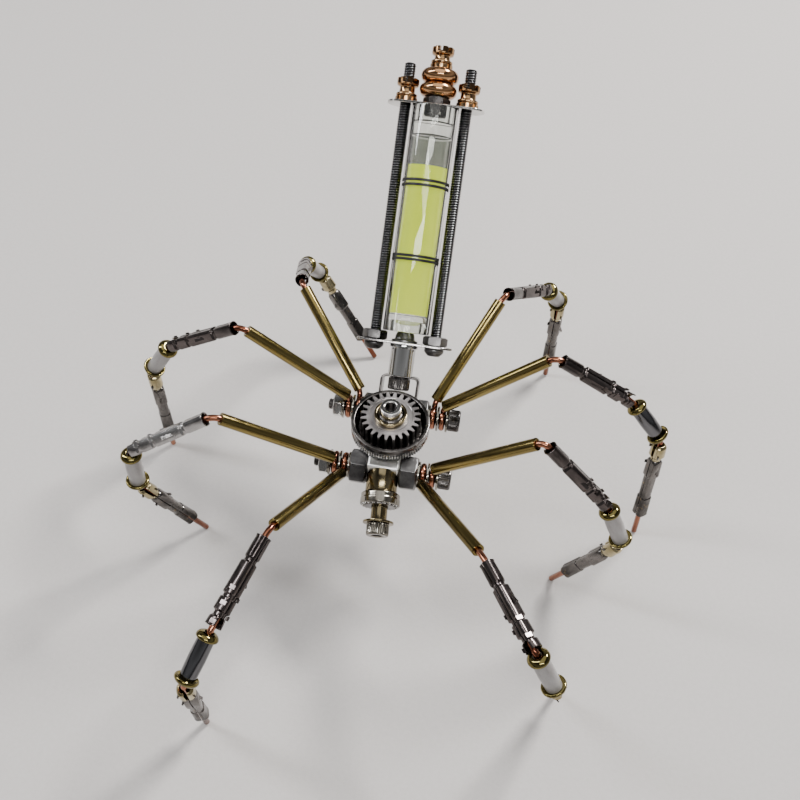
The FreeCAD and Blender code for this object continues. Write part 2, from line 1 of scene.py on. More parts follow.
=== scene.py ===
import json
import math
import random
from functools import partial
from math import cos, pi, radians, sin, tau
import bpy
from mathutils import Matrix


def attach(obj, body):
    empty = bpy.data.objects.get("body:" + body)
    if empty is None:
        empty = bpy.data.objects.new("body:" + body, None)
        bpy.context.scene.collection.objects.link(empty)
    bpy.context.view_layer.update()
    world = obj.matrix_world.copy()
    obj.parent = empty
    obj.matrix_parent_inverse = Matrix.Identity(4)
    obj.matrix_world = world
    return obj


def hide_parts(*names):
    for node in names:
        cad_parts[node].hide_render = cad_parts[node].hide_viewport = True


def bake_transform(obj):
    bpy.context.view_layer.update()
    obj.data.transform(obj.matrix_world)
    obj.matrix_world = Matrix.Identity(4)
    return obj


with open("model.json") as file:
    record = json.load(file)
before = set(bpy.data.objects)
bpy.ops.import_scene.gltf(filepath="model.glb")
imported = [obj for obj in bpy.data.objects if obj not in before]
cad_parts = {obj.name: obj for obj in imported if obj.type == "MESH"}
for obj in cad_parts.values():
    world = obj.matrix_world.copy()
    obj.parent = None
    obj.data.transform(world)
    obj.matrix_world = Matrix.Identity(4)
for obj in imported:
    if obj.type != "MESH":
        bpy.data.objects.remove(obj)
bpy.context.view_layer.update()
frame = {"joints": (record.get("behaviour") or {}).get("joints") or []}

from types import SimpleNamespace as Sizes

import bpy
from mathutils import Matrix, Vector

MM = 0.001
JOINTS = {joint["name"]: joint for joint in frame["joints"]}

# ---------------- sizes, in millimetres

BOLT = 1.5                  # radius of every M3 screw and rod
THREAD_PITCH, THREAD_DEPTH = 0.5, 0.22
HEAD_RADIUS, HEAD_HEIGHT = 2.75, 3.0
NUT_ACROSS, NUT_HEIGHT = 5.5, 2.4
WIRE, TUBE = 0.75, 1.5      # radii of the copper wire and of the leg tubes

BLOCK = Sizes(width=8.0, height=8.2, nose=11.5, tail=9.0)
AXLE_OFFSET = 9.0
FLANK = Sizes(across=7.8, inside=5.05, outside=8.3)
NEAR_EYE, FAR_EYE = 9.7, 12.1
WASHER = Sizes(radius=3.2, thick=0.55)

DISH = Sizes(rim=9.65, base=8.8, height=4.2, floor=1.4, inner=8.7, flare=1.9, knurls=88)
GEAR = Sizes(teeth=24, tip=7.35, root=5.95, thick=4.6, lift=0.1, bore=2.05)
CUP = Sizes(radius=4.0, inner=3.3, height=0.9, floor=0.3, lift=0.1)
CAP = Sizes(radius=2.6, height=3.0, hole=1.4)

NECK = Sizes(radius=3.85, length=3.9, rise=0.2)
RACE = Sizes(radius=4.87, length=3.4, bore=2.05, gap=0.1, balls=20, ball=0.45, ring=4.15)
SNOUT = Sizes(radius=2.0, length=3.4, washer=3.75)

WAIST = Sizes(pitch=42.5, reach=9.0, rise=2.0, sheet=0.6, half=3.0, eye=2.4, gap=0.35,
             radius=3.1, length=7.9)
PLATE = Sizes(length=24.3, width=7.0, thick=0.6, gap=58.6, rod=7.65)
RODS = (("right", -PLATE.rod), ("left", PLATE.rod))
ROD = Sizes(head=2.5, head_height=2.0, above=3.8)
DOME = Sizes(radius=2.5, start=1.0, flange=3.3, thick=0.6)
THUMB = Sizes(radius=2.75, waist=1.9, height=5.7, lift=0.1)
VIAL = Sizes(radius=5.9, bore=4.9, foot=2.5, foot_plug=4.6, foot_recess=3.0, crown_plug=7.4,
            crown_recess=4.2, recess=3.4, lines=(17.7, 18.6, 36.0, 37.2), bubble=10.0,
            climb=2.6, flat=2.2)
FINIAL = Sizes(nut=6.0, nut_height=1.9, ring=4.7, ring_height=3.5, post_height=5.3)

FEMUR = Sizes(start=0.3, bare=2.0)
CRIMP_SPAN, SHIN_SPAN = 24.3, 13.8
SLEEVE = Sizes(start=2.0, length=5.4)
COLLAR = Sizes(upper=2.6, lower=2.9, length=1.6, start=0.7)
SHIN_RADIUS = 2.05
FOOT_BARE = 8.3             # copper pin below each foot terminal

# Each leg: own side (+1 is +X), the knee terminal's, shin's and foot's azimuth and pitch in
# degrees, which painted look its shin tube gets, and the terminals' roll. All shins are one
# steel: "white" paints a bright reflection on it, "steel" a dim one.
LEGS = {
    "right_rear": (-1, (79, -33), (107, -53), (200, -55), "bright_sheen", 150),
    "right_midrear": (-1, (7, -34), (7, -60), (183, -88), "bright_sheen", 20),
    "right_midfront": (-1, (-11, -32), (-11, -89), (147, -64), "bright_sheen", 35),
    "right_front": (-1, (-71, -16), (-65, -40), (90, -81), "steel", -60),
    "left_rear": (1, (57, -33), (58, -53), (59, -89), "bright_sheen", -25),
    "left_midrear": (1, (1, -32), (-13, -48), (-89, -81), "steel", 10),
    "left_midfront": (1, (-9, -45), (-12, -65), (162, -64), "bright_sheen", -30),
    "left_front": (1, (-57, -2), (-16, -63), (76, -65), "bright_sheen", 60),
}

X_AXIS, Y_AXIS, Z_AXIS = Vector((1, 0, 0)), Vector((0, 1, 0)), Vector((0, 0, 1))


def joint_at(name):
    return Vector(JOINTS[name]["pos_m"]) / MM


HUB = joint_at("gear_spin")
HUB.z = joint_at("body_pitch").z
PIVOT = joint_at("body_pitch")
pitch = radians(WAIST.pitch)
BODY_AXIS = Vector((0, cos(pitch), sin(pitch)))
BODY_UP = Vector((0, -sin(pitch), cos(pitch)))

# ---------------- placing


def shift(x=0.0, y=0.0, z=0.0):
    return Matrix.Translation((x, y, z))


def axes(start, direction, side=None):
    """Matrix whose local Z runs along a direction from a start point, in millimetres."""
    forward = direction.normalized()
    if side is None:
        side = X_AXIS if abs(forward.x) < 0.9 else Y_AXIS
    right = (side - forward * side.dot(forward)).normalized()
    up = forward.cross(right)
    place = Matrix((right, up, forward)).transposed().to_4x4()
    place.translation = Vector(start)
    return place


def on_hub(x=0.0, y=0.0, z=0.0, direction=Z_AXIS, side=None):
    return axes(HUB + Vector((x, y, z)), direction, side)


def on_body(distance, x=0.0, flip=False):
    """On the rear body's axis, measured from the rear cross bolt."""
    start = PIVOT + BODY_AXIS * distance + BODY_UP * WAIST.rise + X_AXIS * x
    return axes(start, -BODY_AXIS if flip else BODY_AXIS, X_AXIS)


# ---------------- mesh building


def circle(count, z, radius):
    """A ring of points at a height. radius may be a function of the angle."""
    points = []
    for i in range(count):
        angle = tau * i / count
        r = radius(angle) if callable(radius) else radius
        points.append((r * cos(angle), r * sin(angle), z))
    return points


class Shape:
    """Vertices in millimetres and faces, with parts added one after the other."""

    def __init__(self):
        self.verts, self.faces = [], []

    def add(self, verts, faces, place=None):
        base = len(self.verts)
        if place is not None:
            verts = [place @ Vector(v) for v in verts]
        self.verts += [tuple(v) for v in verts]
        self.faces += [tuple(base + i for i in face) for face in faces]
        return self

    def rings(self, rings, place=None, closed=False, caps=(False, False)):
        """Skin rings of equal count. closed joins the last ring to the first."""
        count = len(rings[0])
        verts = [v for ring in rings for v in ring]
        faces = []
        last = len(rings) if closed else len(rings) - 1
        for r in range(last):
            a, b = r * count, ((r + 1) % len(rings)) * count
            for i in range(count):
                j = (i + 1) % count
                faces.append((a + i, a + j, b + j, b + i))
        if caps[0]:
            faces.append(tuple(reversed(range(count))))
        if caps[1]:
            faces.append(tuple(range((len(rings) - 1) * count, len(rings) * count)))
        return self.add(verts, faces, place)

    def lathe(self, section, place=None, count=48, closed=True, relief=None):
        """Turn a section of (radius, z). relief(radius, angle) gives a radius in its place."""
        rings = [circle(count, z, partial(relief, radius) if relief else radius) for radius,
                 z in section]
        return self.rings(rings, place, closed, (not closed, not closed))

    def sheet(self, rows):
        """Skin rows of equal count as an open surface."""
        wide = len(rows[0])
        faces = []
        for r in range(len(rows) - 1):
            for k in range(wide - 1):
                a = r * wide + k
                faces.append((a, a + 1, a + wide + 1, a + wide))
        return self.add([v for row in rows for v in row], faces)

    def box(self, size, place):
        x, y, z = (s / 2 for s in size)
        verts = [(sx * x, sy * y, sz * z) for sz in (-1, 1) for sy in (-1, 1) for sx in (-1, 1)]
        faces = [(0, 2, 3, 1), (4, 5, 7, 6), (0, 1, 5, 4), (1, 3, 7, 5), (3, 2, 6, 7), (2, 0, 4, 6)]
        return self.add(verts, faces, place)


def rounded(section, radius, steps=3, closed=True):
    """Round the corners of a section with short curves."""
    points = [Vector(p) for p in section]
    result = []
    for i, point in enumerate(points):
        if not closed and i in (0, len(points) - 1):
            result.append(tuple(point))
            continue
        before, after = points[i - 1] - point, points[(i + 1) % len(points)] - point
        reach = min(radius, before.length * 0.45, after.length * 0.45)
        start, end = point + before.normalized() * reach, point + after.normalized() * reach
        for step in range(steps + 1):
            t = step / steps
            result.append(tuple(start * (1 - t) ** 2 + point * 2 * t * (1 - t) + end * t ** 2))
    return result


def bent(points, radii, steps=10):
    """A path through points whose corners are rounded, each by its own reach."""
    path = [points[0]]
    for i in range(1, len(points) - 1):
        before, after = points[i - 1] - points[i], points[i + 1] - points[i]
        start = points[i] + before.normalized() * radii[i - 1]
        end = points[i] + after.normalized() * radii[i - 1]
        for step in range(steps + 1):
            t = step / steps
            path.append(start * (1 - t) ** 2 + points[i] * 2 * t * (1 - t) + end * t ** 2)
    path.append(points[-1])
    return path


def sweep(path, radius, count=20, taper=0.0):
    """A round wire along a path. A taper gives it softly rounded ends of that length."""
    last = len(path) - 1
    tangents = [(path[min(i + 1, last)] - path[max(i - 1,
                                                   0)]).normalized() for i in range(len(path))]
    side = tangents[0].orthogonal().normalized()

    def ring(centre, tangent, size):
        up = tangent.cross(side)
        return [centre + (side * cos(a) + up * sin(a)) * size
                for a in (tau * k / count for k in range(count))]

    def rounded_end(centre, tangent, out):
        angles = [pi / 2 * (k + 0.3) / 3 for k in range(3)]
        return [ring(centre + tangent * (out * taper * (cos(a) - 1)), tangent,
                     radius * sin(a)) for a in angles]

    rings = rounded_end(path[0], tangents[0], -1) if taper else []
    for i, point in enumerate(path):
        side = (side - tangents[i] * side.dot(tangents[i])).normalized()
        inset = tangents[i] * (taper if i == 0 else -taper if i == last else 0)
        rings.append(ring(point + inset, tangents[i], radius))
    if taper:
        rings += reversed(rounded_end(path[last], tangents[last], 1))
    return Shape().rings(rings, caps=(True, True))


def add_object(name, data):
    item = bpy.data.objects.new(name, data)
    bpy.context.scene.collection.objects.link(item)
    return item


def add_piece(name, shape, material, body, place=None, replaces=(), sharp=32,
                 bevel=0.0, solid=0.0):
    """Make the object: vertices in its own frame, standing at its place."""
    place = place or Matrix.Identity(4)
    mesh = bpy.data.meshes.new(name)
    mesh.from_pydata([Vector(v) * MM for v in shape.verts], [], shape.faces)
    mesh.validate()
    mesh.polygons.foreach_set("use_smooth", [True] * len(mesh.polygons))
    mesh.set_sharp_from_angle(angle=radians(sharp))
    piece = add_object(name, mesh)
    world = place.copy()
    world.translation = place.translation * MM
    piece.matrix_world = world
    if solid:
        modifier = piece.modifiers.new("Sheet", "SOLIDIFY")
        modifier.thickness, modifier.offset = solid * MM, 0
    if bevel:
        modifier = piece.modifiers.new("Edges", "BEVEL")
        modifier.width, modifier.segments = bevel * MM, 2
        modifier.limit_method, modifier.angle_limit = "ANGLE", radians(sharp)
    mesh.materials.append(MATERIALS[material])
    if body:
        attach(piece, body)
    if replaces:
        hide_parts(*replaces)
    return piece


# ---------------- materials


def fill_ramp(ramp, stops):
    """Each stop is a position and a colour or a grey."""
    while len(ramp.elements) < len(stops):
        ramp.elements.new(0.5)
    for element, (position, colour) in zip(ramp.elements, stops):
        element.position = position
        grey = isinstance(colour, (int, float))
        element.color = (colour, colour, colour, 1) if grey else (*colour, 1)


class Paint:
    """A node material built up by short calls."""

    def __init__(self, name, **settings):
        self.material = bpy.data.materials.new(name)
        self.material.use_nodes = True
        self.tree = self.material.node_tree
        self.shader = self.tree.nodes["Principled BSDF"]
        for socket, value in settings.items():
            self.shader.inputs[socket.replace("_", " ")].default_value = value
        coordinates = self.tree.nodes.new("ShaderNodeTexCoord")
        self.place = coordinates.outputs["Object"]

    def node(self, kind, inputs=None, **settings):
        item = self.tree.nodes.new("ShaderNode" + kind)
        for key, value in settings.items():
            setattr(item, key, value)
        for key, value in (inputs or {}).items():
            if hasattr(value, "links"):
                self.tree.links.new(value, item.inputs[key])
            else:
                item.inputs[key].default_value = value
        return item

    def noise(self, scale, stretch=(1, 1, 1), detail=4.0, rough=0.6):
        mapping = self.node("Mapping", {"Vector": self.place, "Scale": stretch})
        return self.node("TexNoise", {"Vector": mapping.outputs["Vector"], "Scale": scale,
                                      "Detail": detail, "Roughness": rough}).outputs["Fac"]

    def ramp(self, factor, *stops):
        item = self.node("ValToRGB", {"Fac": factor})
        fill_ramp(item.color_ramp, stops)
        return item.outputs["Color"]

    def from_axis(self):
        """Distance from the object's Z axis, and height along it."""
        split = self.node("SeparateXYZ", {"Vector": self.place})
        flat = self.node("CombineXYZ", {"X": split.outputs["X"], "Y": split.outputs["Y"]})
        away = self.node("VectorMath", {0: flat.outputs["Vector"]}, operation="LENGTH")
        return away.outputs["Value"], split.outputs["Z"]

    def mix(self, factor, a, b):
        item = self.node("Mix", data_type="RGBA")
        for socket, value in (("Factor", factor), ("A", a), ("B", b)):
            target = next(i for i in item.inputs if i.name == socket and i.enabled)
            if hasattr(value, "links"):
                self.tree.links.new(value, target)
            elif isinstance(value, tuple):
                target.default_value = (*value, 1)
            else:
                target.default_value = value
        return next(o for o in item.outputs if o.enabled)

    def link(self, socket, output):
        self.tree.links.new(output, self.shader.inputs[socket])
        return self

    def bump(self, height, strength, distance):
        item = self.node("Bump", {"Height": height, "Strength": strength,
                                  "Distance": distance * MM})
        return self.link("Normal", item.outputs["Normal"])


def metal(name, dark, light, roughness, scale=160, along=0.12, bump=0.05, spots=None):
    """Worn metal: broad shading along local Z, uneven polish, fine scratches and tarnish."""
    paint = Paint(name, Metallic=1.0)
    streaks = paint.noise(scale, (1, 1, along), detail=6.0)
    colour = paint.ramp(streaks, (0.38, dark), (0.60, light))
    if spots:
        patches = paint.noise(scale * 2.2, detail=6.0, rough=0.7)
        colour = paint.mix(paint.ramp(patches, (0.60, 0.0), (0.70, 1.0)), colour, spots)
    paint.link("Base Color", colour)
    smudge = paint.noise(scale * 1.4, detail=3.0)
    paint.link("Roughness", paint.ramp(smudge, (0.35, roughness[0]), (0.65, roughness[1])))
    scratches = paint.noise(scale * 24, (1, 1, 0.04), detail=2.0)
    return paint.bump(scratches, bump, 0.02).material


def between(paint, value, low, high):
    """0 to 1 as a length in millimetres goes from low to high."""
    return paint.node("MapRange", {"Value": value, "From Min": low * MM,
                                   "From Max": high * MM}).outputs["Result"]


def grooved(name, low, high, crest_dark, crest_light):
    """Painted highlight on crests, painted shade in grooves, told apart by the distance from the
    object's Z.
    """
    paint = Paint(name, Metallic=1.0)
    radius = paint.from_axis()[0]
    wear = paint.noise(500, (1, 1, 0.3))
    crest = paint.mix(wear, crest_dark, crest_light)
    # The near black groove colour is painted shade; the crest colours are lightened as a painted
    # highlight.
    paint.link("Base Color", paint.mix(between(paint, radius, low, high), (0.008, 0.008, 0.009),
                                       crest))
    paint.link("Roughness", paint.ramp(wear, (0.3, 0.18), (0.7, 0.34)))
    return paint.material


def gear_steel():
    """Satin steel face over tooth flanks darkened by painted shade, with a painted highlight on the
    crests.
    """
    paint = Paint("Spur gear steel", Metallic=1.0)
    radius, z = paint.from_axis()
    grain = paint.noise(190, detail=6.0)
    face = paint.mix(grain, (0.22, 0.205, 0.205), (0.46, 0.435, 0.43))
    height = between(paint, z, GEAR.thick - 0.55, GEAR.thick - 0.08)
    crest = between(paint, radius, GEAR.tip - 0.4, GEAR.tip - 0.1)
    # Painted shade: the flanks are near black, with a painted highlight where they reach the crests.
    flank = paint.mix(crest, (0.02, 0.017, 0.017), (0.24, 0.225, 0.22))
    paint.link("Base Color", paint.mix(height, flank, face))
    paint.link("Roughness", paint.ramp(grain, (0.35, 0.28), (0.65, 0.42)))
    return paint.bump(paint.noise(2600), 0.08, 0.02).material


def shin_bright_reflection():
    """Painted bright reflection on the steel shin tube: a satin pale grey, mottled at random."""
    paint = Paint("Shin painted bright reflection", Roughness=0.38)
    paint.shader.inputs["Coat Weight"].default_value = 0.25
    # Random mottling of the painted bright reflection.
    sheen_mottle = paint.noise(140, (1, 1, 0.3), detail=6.0)
    paint.link("Base Color", paint.ramp(sheen_mottle, (0.38, (0.22, 0.205, 0.20)), (0.58, (0.40, 0.39,
                                                                                    0.385))))
    return paint.bump(paint.noise(2200), 0.15, 0.03).material


def acrylic():
    paint = Paint("Clear acrylic", Base_Color=(0.96, 0.97, 0.95, 1), IOR=1.49)
    paint.shader.inputs["Transmission Weight"].default_value = 1.0
    blotches = paint.noise(220, (1, 1, 0.2))
    paint.link("Roughness", paint.ramp(blotches, (0.3, 0.01), (0.7, 0.04)))
    return paint.material


def fluid():
    """Yellow-green level fluid with a painted glow, its colour varying at random."""
    # Painted glow: the fluid emits its own colour at this strength, though it is no lamp.
    paint = Paint("Level fluid", Roughness=0.08, IOR=1.34, Emission_Strength=0.46)
    paint.shader.inputs["Transmission Weight"].default_value = 0.15
    tint = paint.noise(60, (1, 1, 0.4), detail=1.0)
    colour = paint.ramp(tint, (0.3, (0.64, 0.74, 0.05)), (0.7, (0.72, 0.80, 0.09)))
    paint.link("Base Color", colour)
    paint.link("Emission Color", colour)
    return paint.material


def bubble_edge_shade():
    """Grey glass skin over the air bubble under the crown plug: painted shade for its dark edge."""
    paint = Paint("Bubble edge", Roughness=0.04, IOR=1.6)
    paint.shader.inputs["Transmission Weight"].default_value = 0.9
    blotches = paint.noise(220)
    paint.link("Base Color", paint.ramp(blotches, (0.3, (0.52, 0.54, 0.49)), (0.7, (0.66, 0.68, 0.62))))
    return paint.material


def printed_lines_and_edge_shade():
    paint = Paint("Printed lines and painted edge shade", Roughness=0.4)
    shade = paint.noise(900)
    paint.link("Base Color", paint.ramp(shade, (0.3, (0.004, 0.004, 0.004)), (0.8, (0.02, 0.02,
                                                                                    0.02))))
    return paint.material


def make_materials():
    return dict(
        copper=metal("Copper wire", (0.17, 0.06, 0.035), (0.41, 0.175, 0.105), (0.10, 0.24),
                   spots=(0.20, 0.06, 0.035)),
        rings=metal("Copper rings", (0.32, 0.16, 0.075), (0.54, 0.30, 0.15), (0.08, 0.20),
                  scale=110, bump=0.03),
        tube=metal("Aged brass tube", (0.115, 0.085, 0.03), (0.31, 0.24, 0.085), (0.12, 0.24),
                 scale=110, along=0.06, spots=(0.20, 0.09, 0.04)),
        brass=metal("Turned brass", (0.16, 0.13, 0.072), (0.34, 0.28, 0.165), (0.08, 0.20),
                  scale=120, bump=0.03),
        bronze=metal("Bronze nut", (0.21, 0.115, 0.052), (0.50, 0.32, 0.17), (0.08, 0.22),
                   scale=150, along=1, bump=0.03),
        race=metal("Race steel", (0.17, 0.155, 0.13), (0.36, 0.34, 0.295), (0.08, 0.20),
                 scale=120, bump=0.03),
        satin=metal("Satin nut", (0.07, 0.068, 0.068), (0.19, 0.186, 0.186), (0.26, 0.40),
                  scale=150, along=1, bump=0.08),
        dark=metal("Oxide steel", (0.05, 0.047, 0.045), (0.15, 0.14, 0.135), (0.16, 0.32),
                 scale=180, along=1),
        nickel=metal("Nickel plate", (0.50, 0.49, 0.47), (0.72, 0.71, 0.69), (0.08, 0.20),
                   scale=120, bump=0.03),
        tube_dark=metal("Waist tube", (0.34, 0.34, 0.34), (0.56, 0.56, 0.55), (0.06, 0.14),
                      scale=90, along=0.05, bump=0.02),
        block=metal("Block nickel", (0.70, 0.69, 0.66), (0.90, 0.89, 0.85), (0.30, 0.42),
                  scale=200, along=1, bump=0.12),
        gunmetal=metal("Knee terminal", (0.035, 0.03, 0.029), (0.135, 0.115, 0.11), (0.14, 0.30),
                     scale=170, along=0.3, spots=(0.06, 0.04, 0.035)),
        silver=metal("Bright terminal", (0.22, 0.21, 0.21), (0.52, 0.51, 0.50), (0.14, 0.30),
                   scale=170, along=0.4, spots=(0.16, 0.14, 0.13)),
        tin=metal("Tinned terminal", (0.05, 0.046, 0.043), (0.22, 0.205, 0.195), (0.16, 0.34),
                scale=170, along=0.4, spots=(0.26, 0.19, 0.10)),
        cream=metal("Brassy wings", (0.30, 0.25, 0.13), (0.62, 0.54, 0.34), (0.14, 0.28),
                  scale=170, along=0.5, spots=(0.16, 0.12, 0.06)),
        # Dim copy of the shin steel: its darker colour is a painted dim reflection.
        shin_dim_reflection=metal("Shin painted dim reflection", (0.10, 0.10, 0.105), (0.22, 0.22, 0.23), (0.10, 0.20),
                     scale=90, bump=0.02),
        collar=metal("Collar brass", (0.11, 0.09, 0.03), (0.32, 0.265, 0.10), (0.05, 0.14),
                   scale=120, along=1, bump=0.03, spots=(0.10, 0.08, 0.03)),
        # Thread and knurl: painted shade in the grooves and a painted highlight on the crests,
        # bright on the knurl.
        thread=grooved("Threaded steel", BOLT - 0.16, BOLT, (0.09, 0.09, 0.09),
                       (0.34, 0.34, 0.35)),
        knurl=grooved("Dish knurl", DISH.base + 0.3, DISH.base + 0.7, (0.60, 0.59, 0.58),
                      (0.95, 0.94, 0.92)),
        gear=gear_steel(), shin_bright_reflection=shin_bright_reflection(), acrylic=acrylic(), fluid=fluid(),
        bubble=bubble_edge_shade(), line=printed_lines_and_edge_shade())


MATERIALS = make_materials()

# ---------------- fasteners


def hex_radius(across, angle):
    """Distance from the axis to a hexagon's edge, corners at 0 degrees."""
    return across / 2 / cos((angle % (pi / 3)) - pi / 6)


def hex_nut(shape, across, height, bore, place=None):
    """Nut with its corners turned off by the usual 30 degree cone, and a countersunk bore."""
    count, flat, cone = 48, across / 2 * 0.93, math.tan(radians(30))
    rings = []
    for end, up in ((0.0, 1), (height, -1)):
        corner = [(x, y, z + (math.hypot(x, y) - flat) * cone * up)
                  for x, y, z in circle(count, end, partial(hex_radius, across))]
        half = [circle(count, end + 0.35 * up, bore), circle(count, end, bore + 0.3),
                circle(count, end, flat), corner]
        rings += half[::up]
    return shape.rings(rings, place, closed=True)


def cap_head(shape, place=None, teeth=40):
    """Knurled cylinder head with a hexagon socket, standing on Z = 0."""
    count, socket, depth = teeth * 6, 2.5, 1.7
    radius, height = HEAD_RADIUS, HEAD_HEIGHT

    def ridged(z, knurl):
        return circle(count, z, lambda a: radius - knurl * (0.5 - 0.5 * cos(a * teeth)))

    def hexagon(z):
        return circle(count, z, partial(hex_radius, socket))

    rings = [circle(count, 0, BOLT), circle(count, 0, radius - 0.2), ridged(0.2, 0.02),
             ridged(0.35, 0.14), ridged(height - 0.55, 0.14), ridged(height - 0.4, 0.02),
             circle(count, height - 0.15, radius - 0.1), circle(count, height, radius - 0.3),
             circle(count, height, socket * 0.62), hexagon(height - 0.15),
             hexagon(height - depth), circle(count, height - depth - 0.3, 0.05)]
    return shape.rings(rings, place, caps=(True, True))


def thread(shape, length, place=None, pitch=THREAD_PITCH):
    """A threaded rod: the radius follows the helix, and the ends are chamfered."""
    steps = int(length / pitch * 8)
    rings = []
    for k in range(steps + 1):
        z = length * k / steps
        end = min(z, length - z)

        def helix(angle):
            phase = (z / pitch - angle / tau) % 1.0
            bite = THREAD_DEPTH * (1 - abs(2 * phase - 1)) ** 0.8
            return min(BOLT - bite, BOLT - 0.35 + end * 1.2)

        rings.append(circle(24, z, helix))
    return shape.rings(rings, place, caps=(True, True))


def washer(shape, radius, bore, thick, place=None):
    section = rounded([(bore, 0), (radius, 0), (radius, thick), (bore, thick)], 0.14)
    return shape.lathe(section, place)


def tube(shape, radius, bore, length, place=None, edge=0.15, count=40):
    section = rounded([(bore, 0), (radius, 0), (radius, length), (bore, length)], edge)
    return shape.lathe(section, place, count)


# ---------------- hub


def build_block():
    """Milled bar: round at the rear where the clevis turns, square at the nose."""
    half, height = BLOCK.width / 2, BLOCK.height / 2
    profile = [(-BLOCK.nose, -height), (-BLOCK.nose, height)]
    steps = 16
    for k in range(steps + 1):
        angle = pi / 2 - pi * k / steps
        profile.append((BLOCK.tail + height * cos(angle), height * sin(angle)))
    sides = [[(x, y, z) for y, z in profile] for x in (-half, half)]
    shape = Shape().rings(sides, caps=(True, True))
    add_piece("hub_block_milled", shape, "block", "hub", on_hub(), ("hub_block",),
              sharp=30, bevel=0.6)


def build_axles():
    washers, nuts, flanks, threads, heads = (Shape() for _ in range(5))
    gap = WIRE + 0.15
    faces = (FLANK.outside, NEAR_EYE + gap, FAR_EYE + gap)
    face = faces[-1] + WASHER.thick
    for y in (-AXLE_OFFSET, AXLE_OFFSET):
        inside = BLOCK.width / 2 if y < 0 else FLANK.inside
        for side in (-1, 1):
            out = X_AXIS * side
            hex_nut(flanks, FLANK.across, FLANK.outside - inside, BOLT,
                    on_local(side * inside, y, out, Y_AXIS.cross(out) + Y_AXIS * 0.58))
            for start in faces:
                washer(washers, WASHER.radius, BOLT, WASHER.thick, on_local(side * start, y, out))
        hex_nut(nuts, NUT_ACROSS, NUT_HEIGHT, BOLT, on_local(-face, y, -X_AXIS))
        thread(threads, 2 * face + NUT_HEIGHT + 1.3, on_local(face, y, -X_AXIS))
        cap_head(heads, on_local(face, y, X_AXIS))
    place = on_hub()
    add_piece("flank_nuts_detail", flanks, "satin", "hub", place, ("axle_nuts",),
              sharp=24, bevel=0.14)
    add_piece("axle_nuts_detail", nuts, "nickel", "hub", place, sharp=24, bevel=0.1)
    add_piece("axle_washers_detail", washers, "race", "hub", place,
              ("axle_washers",))
    add_piece("axle_bolt_threads", threads, "dark", "hub", place, ("axle_bolts",),
              sharp=50)
    add_piece("axle_bolt_heads", heads, "dark", "hub", place)


def on_local(x, y, direction, side=None):
    return axes(Vector((x, y, 0)), direction, side)


def build_clockwork():
    top = BLOCK.height / 2
    base, rim, height = DISH.base, DISH.rim, DISH.height
    flare, inner, floor = height - DISH.flare, DISH.inner, DISH.floor
    section = rounded([(BOLT, 0), (base - 0.5, 0), (base - 0.5, flare), (rim, flare + 0.3),
                       (rim, height), (inner, height), (base - 0.9, floor), (BOLT, floor)],
                      0.25, steps=4)
    dish = Shape().lathe(section, count=96)
    add_piece("gear_dish_turned", dish, "dark", "hub", on_hub(z=top), ("gear_dish",))
    teeth = DISH.knurls

    def knurl(radius, angle):
        return radius + (0.27 * cos(angle * teeth) if radius > base else 0.0)

    band = [(base - 0.7, 0.0), (base - 0.3, 0.0), (base + 0.3, 0.2), (base + 0.56, 0.45),
            (base + 0.56, flare - 0.45), (base + 0.2, flare - 0.2), (base - 0.7, flare - 0.1)]
    ring = Shape().lathe(band, count=teeth * 4, relief=knurl)
    add_piece("gear_dish_knurl", ring, "knurl", "hub", on_hub(z=top), sharp=45)
    build_gear(top + floor + GEAR.lift)
    build_gear_screw(top + floor + GEAR.lift + GEAR.thick + CUP.lift)


def build_gear(base):
    teeth, tip, root = GEAR.teeth, GEAR.tip, GEAR.root
    count = teeth * 16

    def outline(angle):
        """Tooth wave: flat tip, curved flanks and a rounded root."""
        phase = (angle * teeth / tau) % 1.0
        distance = abs(phase - 0.5) * 2
        wave = min(max((distance - 0.34) / 0.46, 0.0), 1.0)
        return root + (tip - root) * (wave * wave * (3 - 2 * wave)) ** 0.7

    def toothed(z, inset=0.0):
        return circle(count, z, lambda angle: outline(angle) - inset)

    thick, bore, step = GEAR.thick, GEAR.bore, GEAR.thick - 0.12
    rings = [circle(count, 0.2, bore), circle(count, 0, bore + 0.2), toothed(0, 0.12), toothed(0.12),
             toothed(step), toothed(thick, 0.12)]
    rings += [circle(count, z, r) for r, z in (
        (root - 0.45, thick), (root - 0.6, step), (root - 1.1, step), (root - 1.2, thick),
        (bore + 0.2, thick), (bore, thick - 0.2))]
    shape = Shape().rings(rings, closed=True)
    add_piece("spur_gear_cut", shape, "gear", "gear", on_hub(z=base),
              ("spur_gear",), sharp=28)


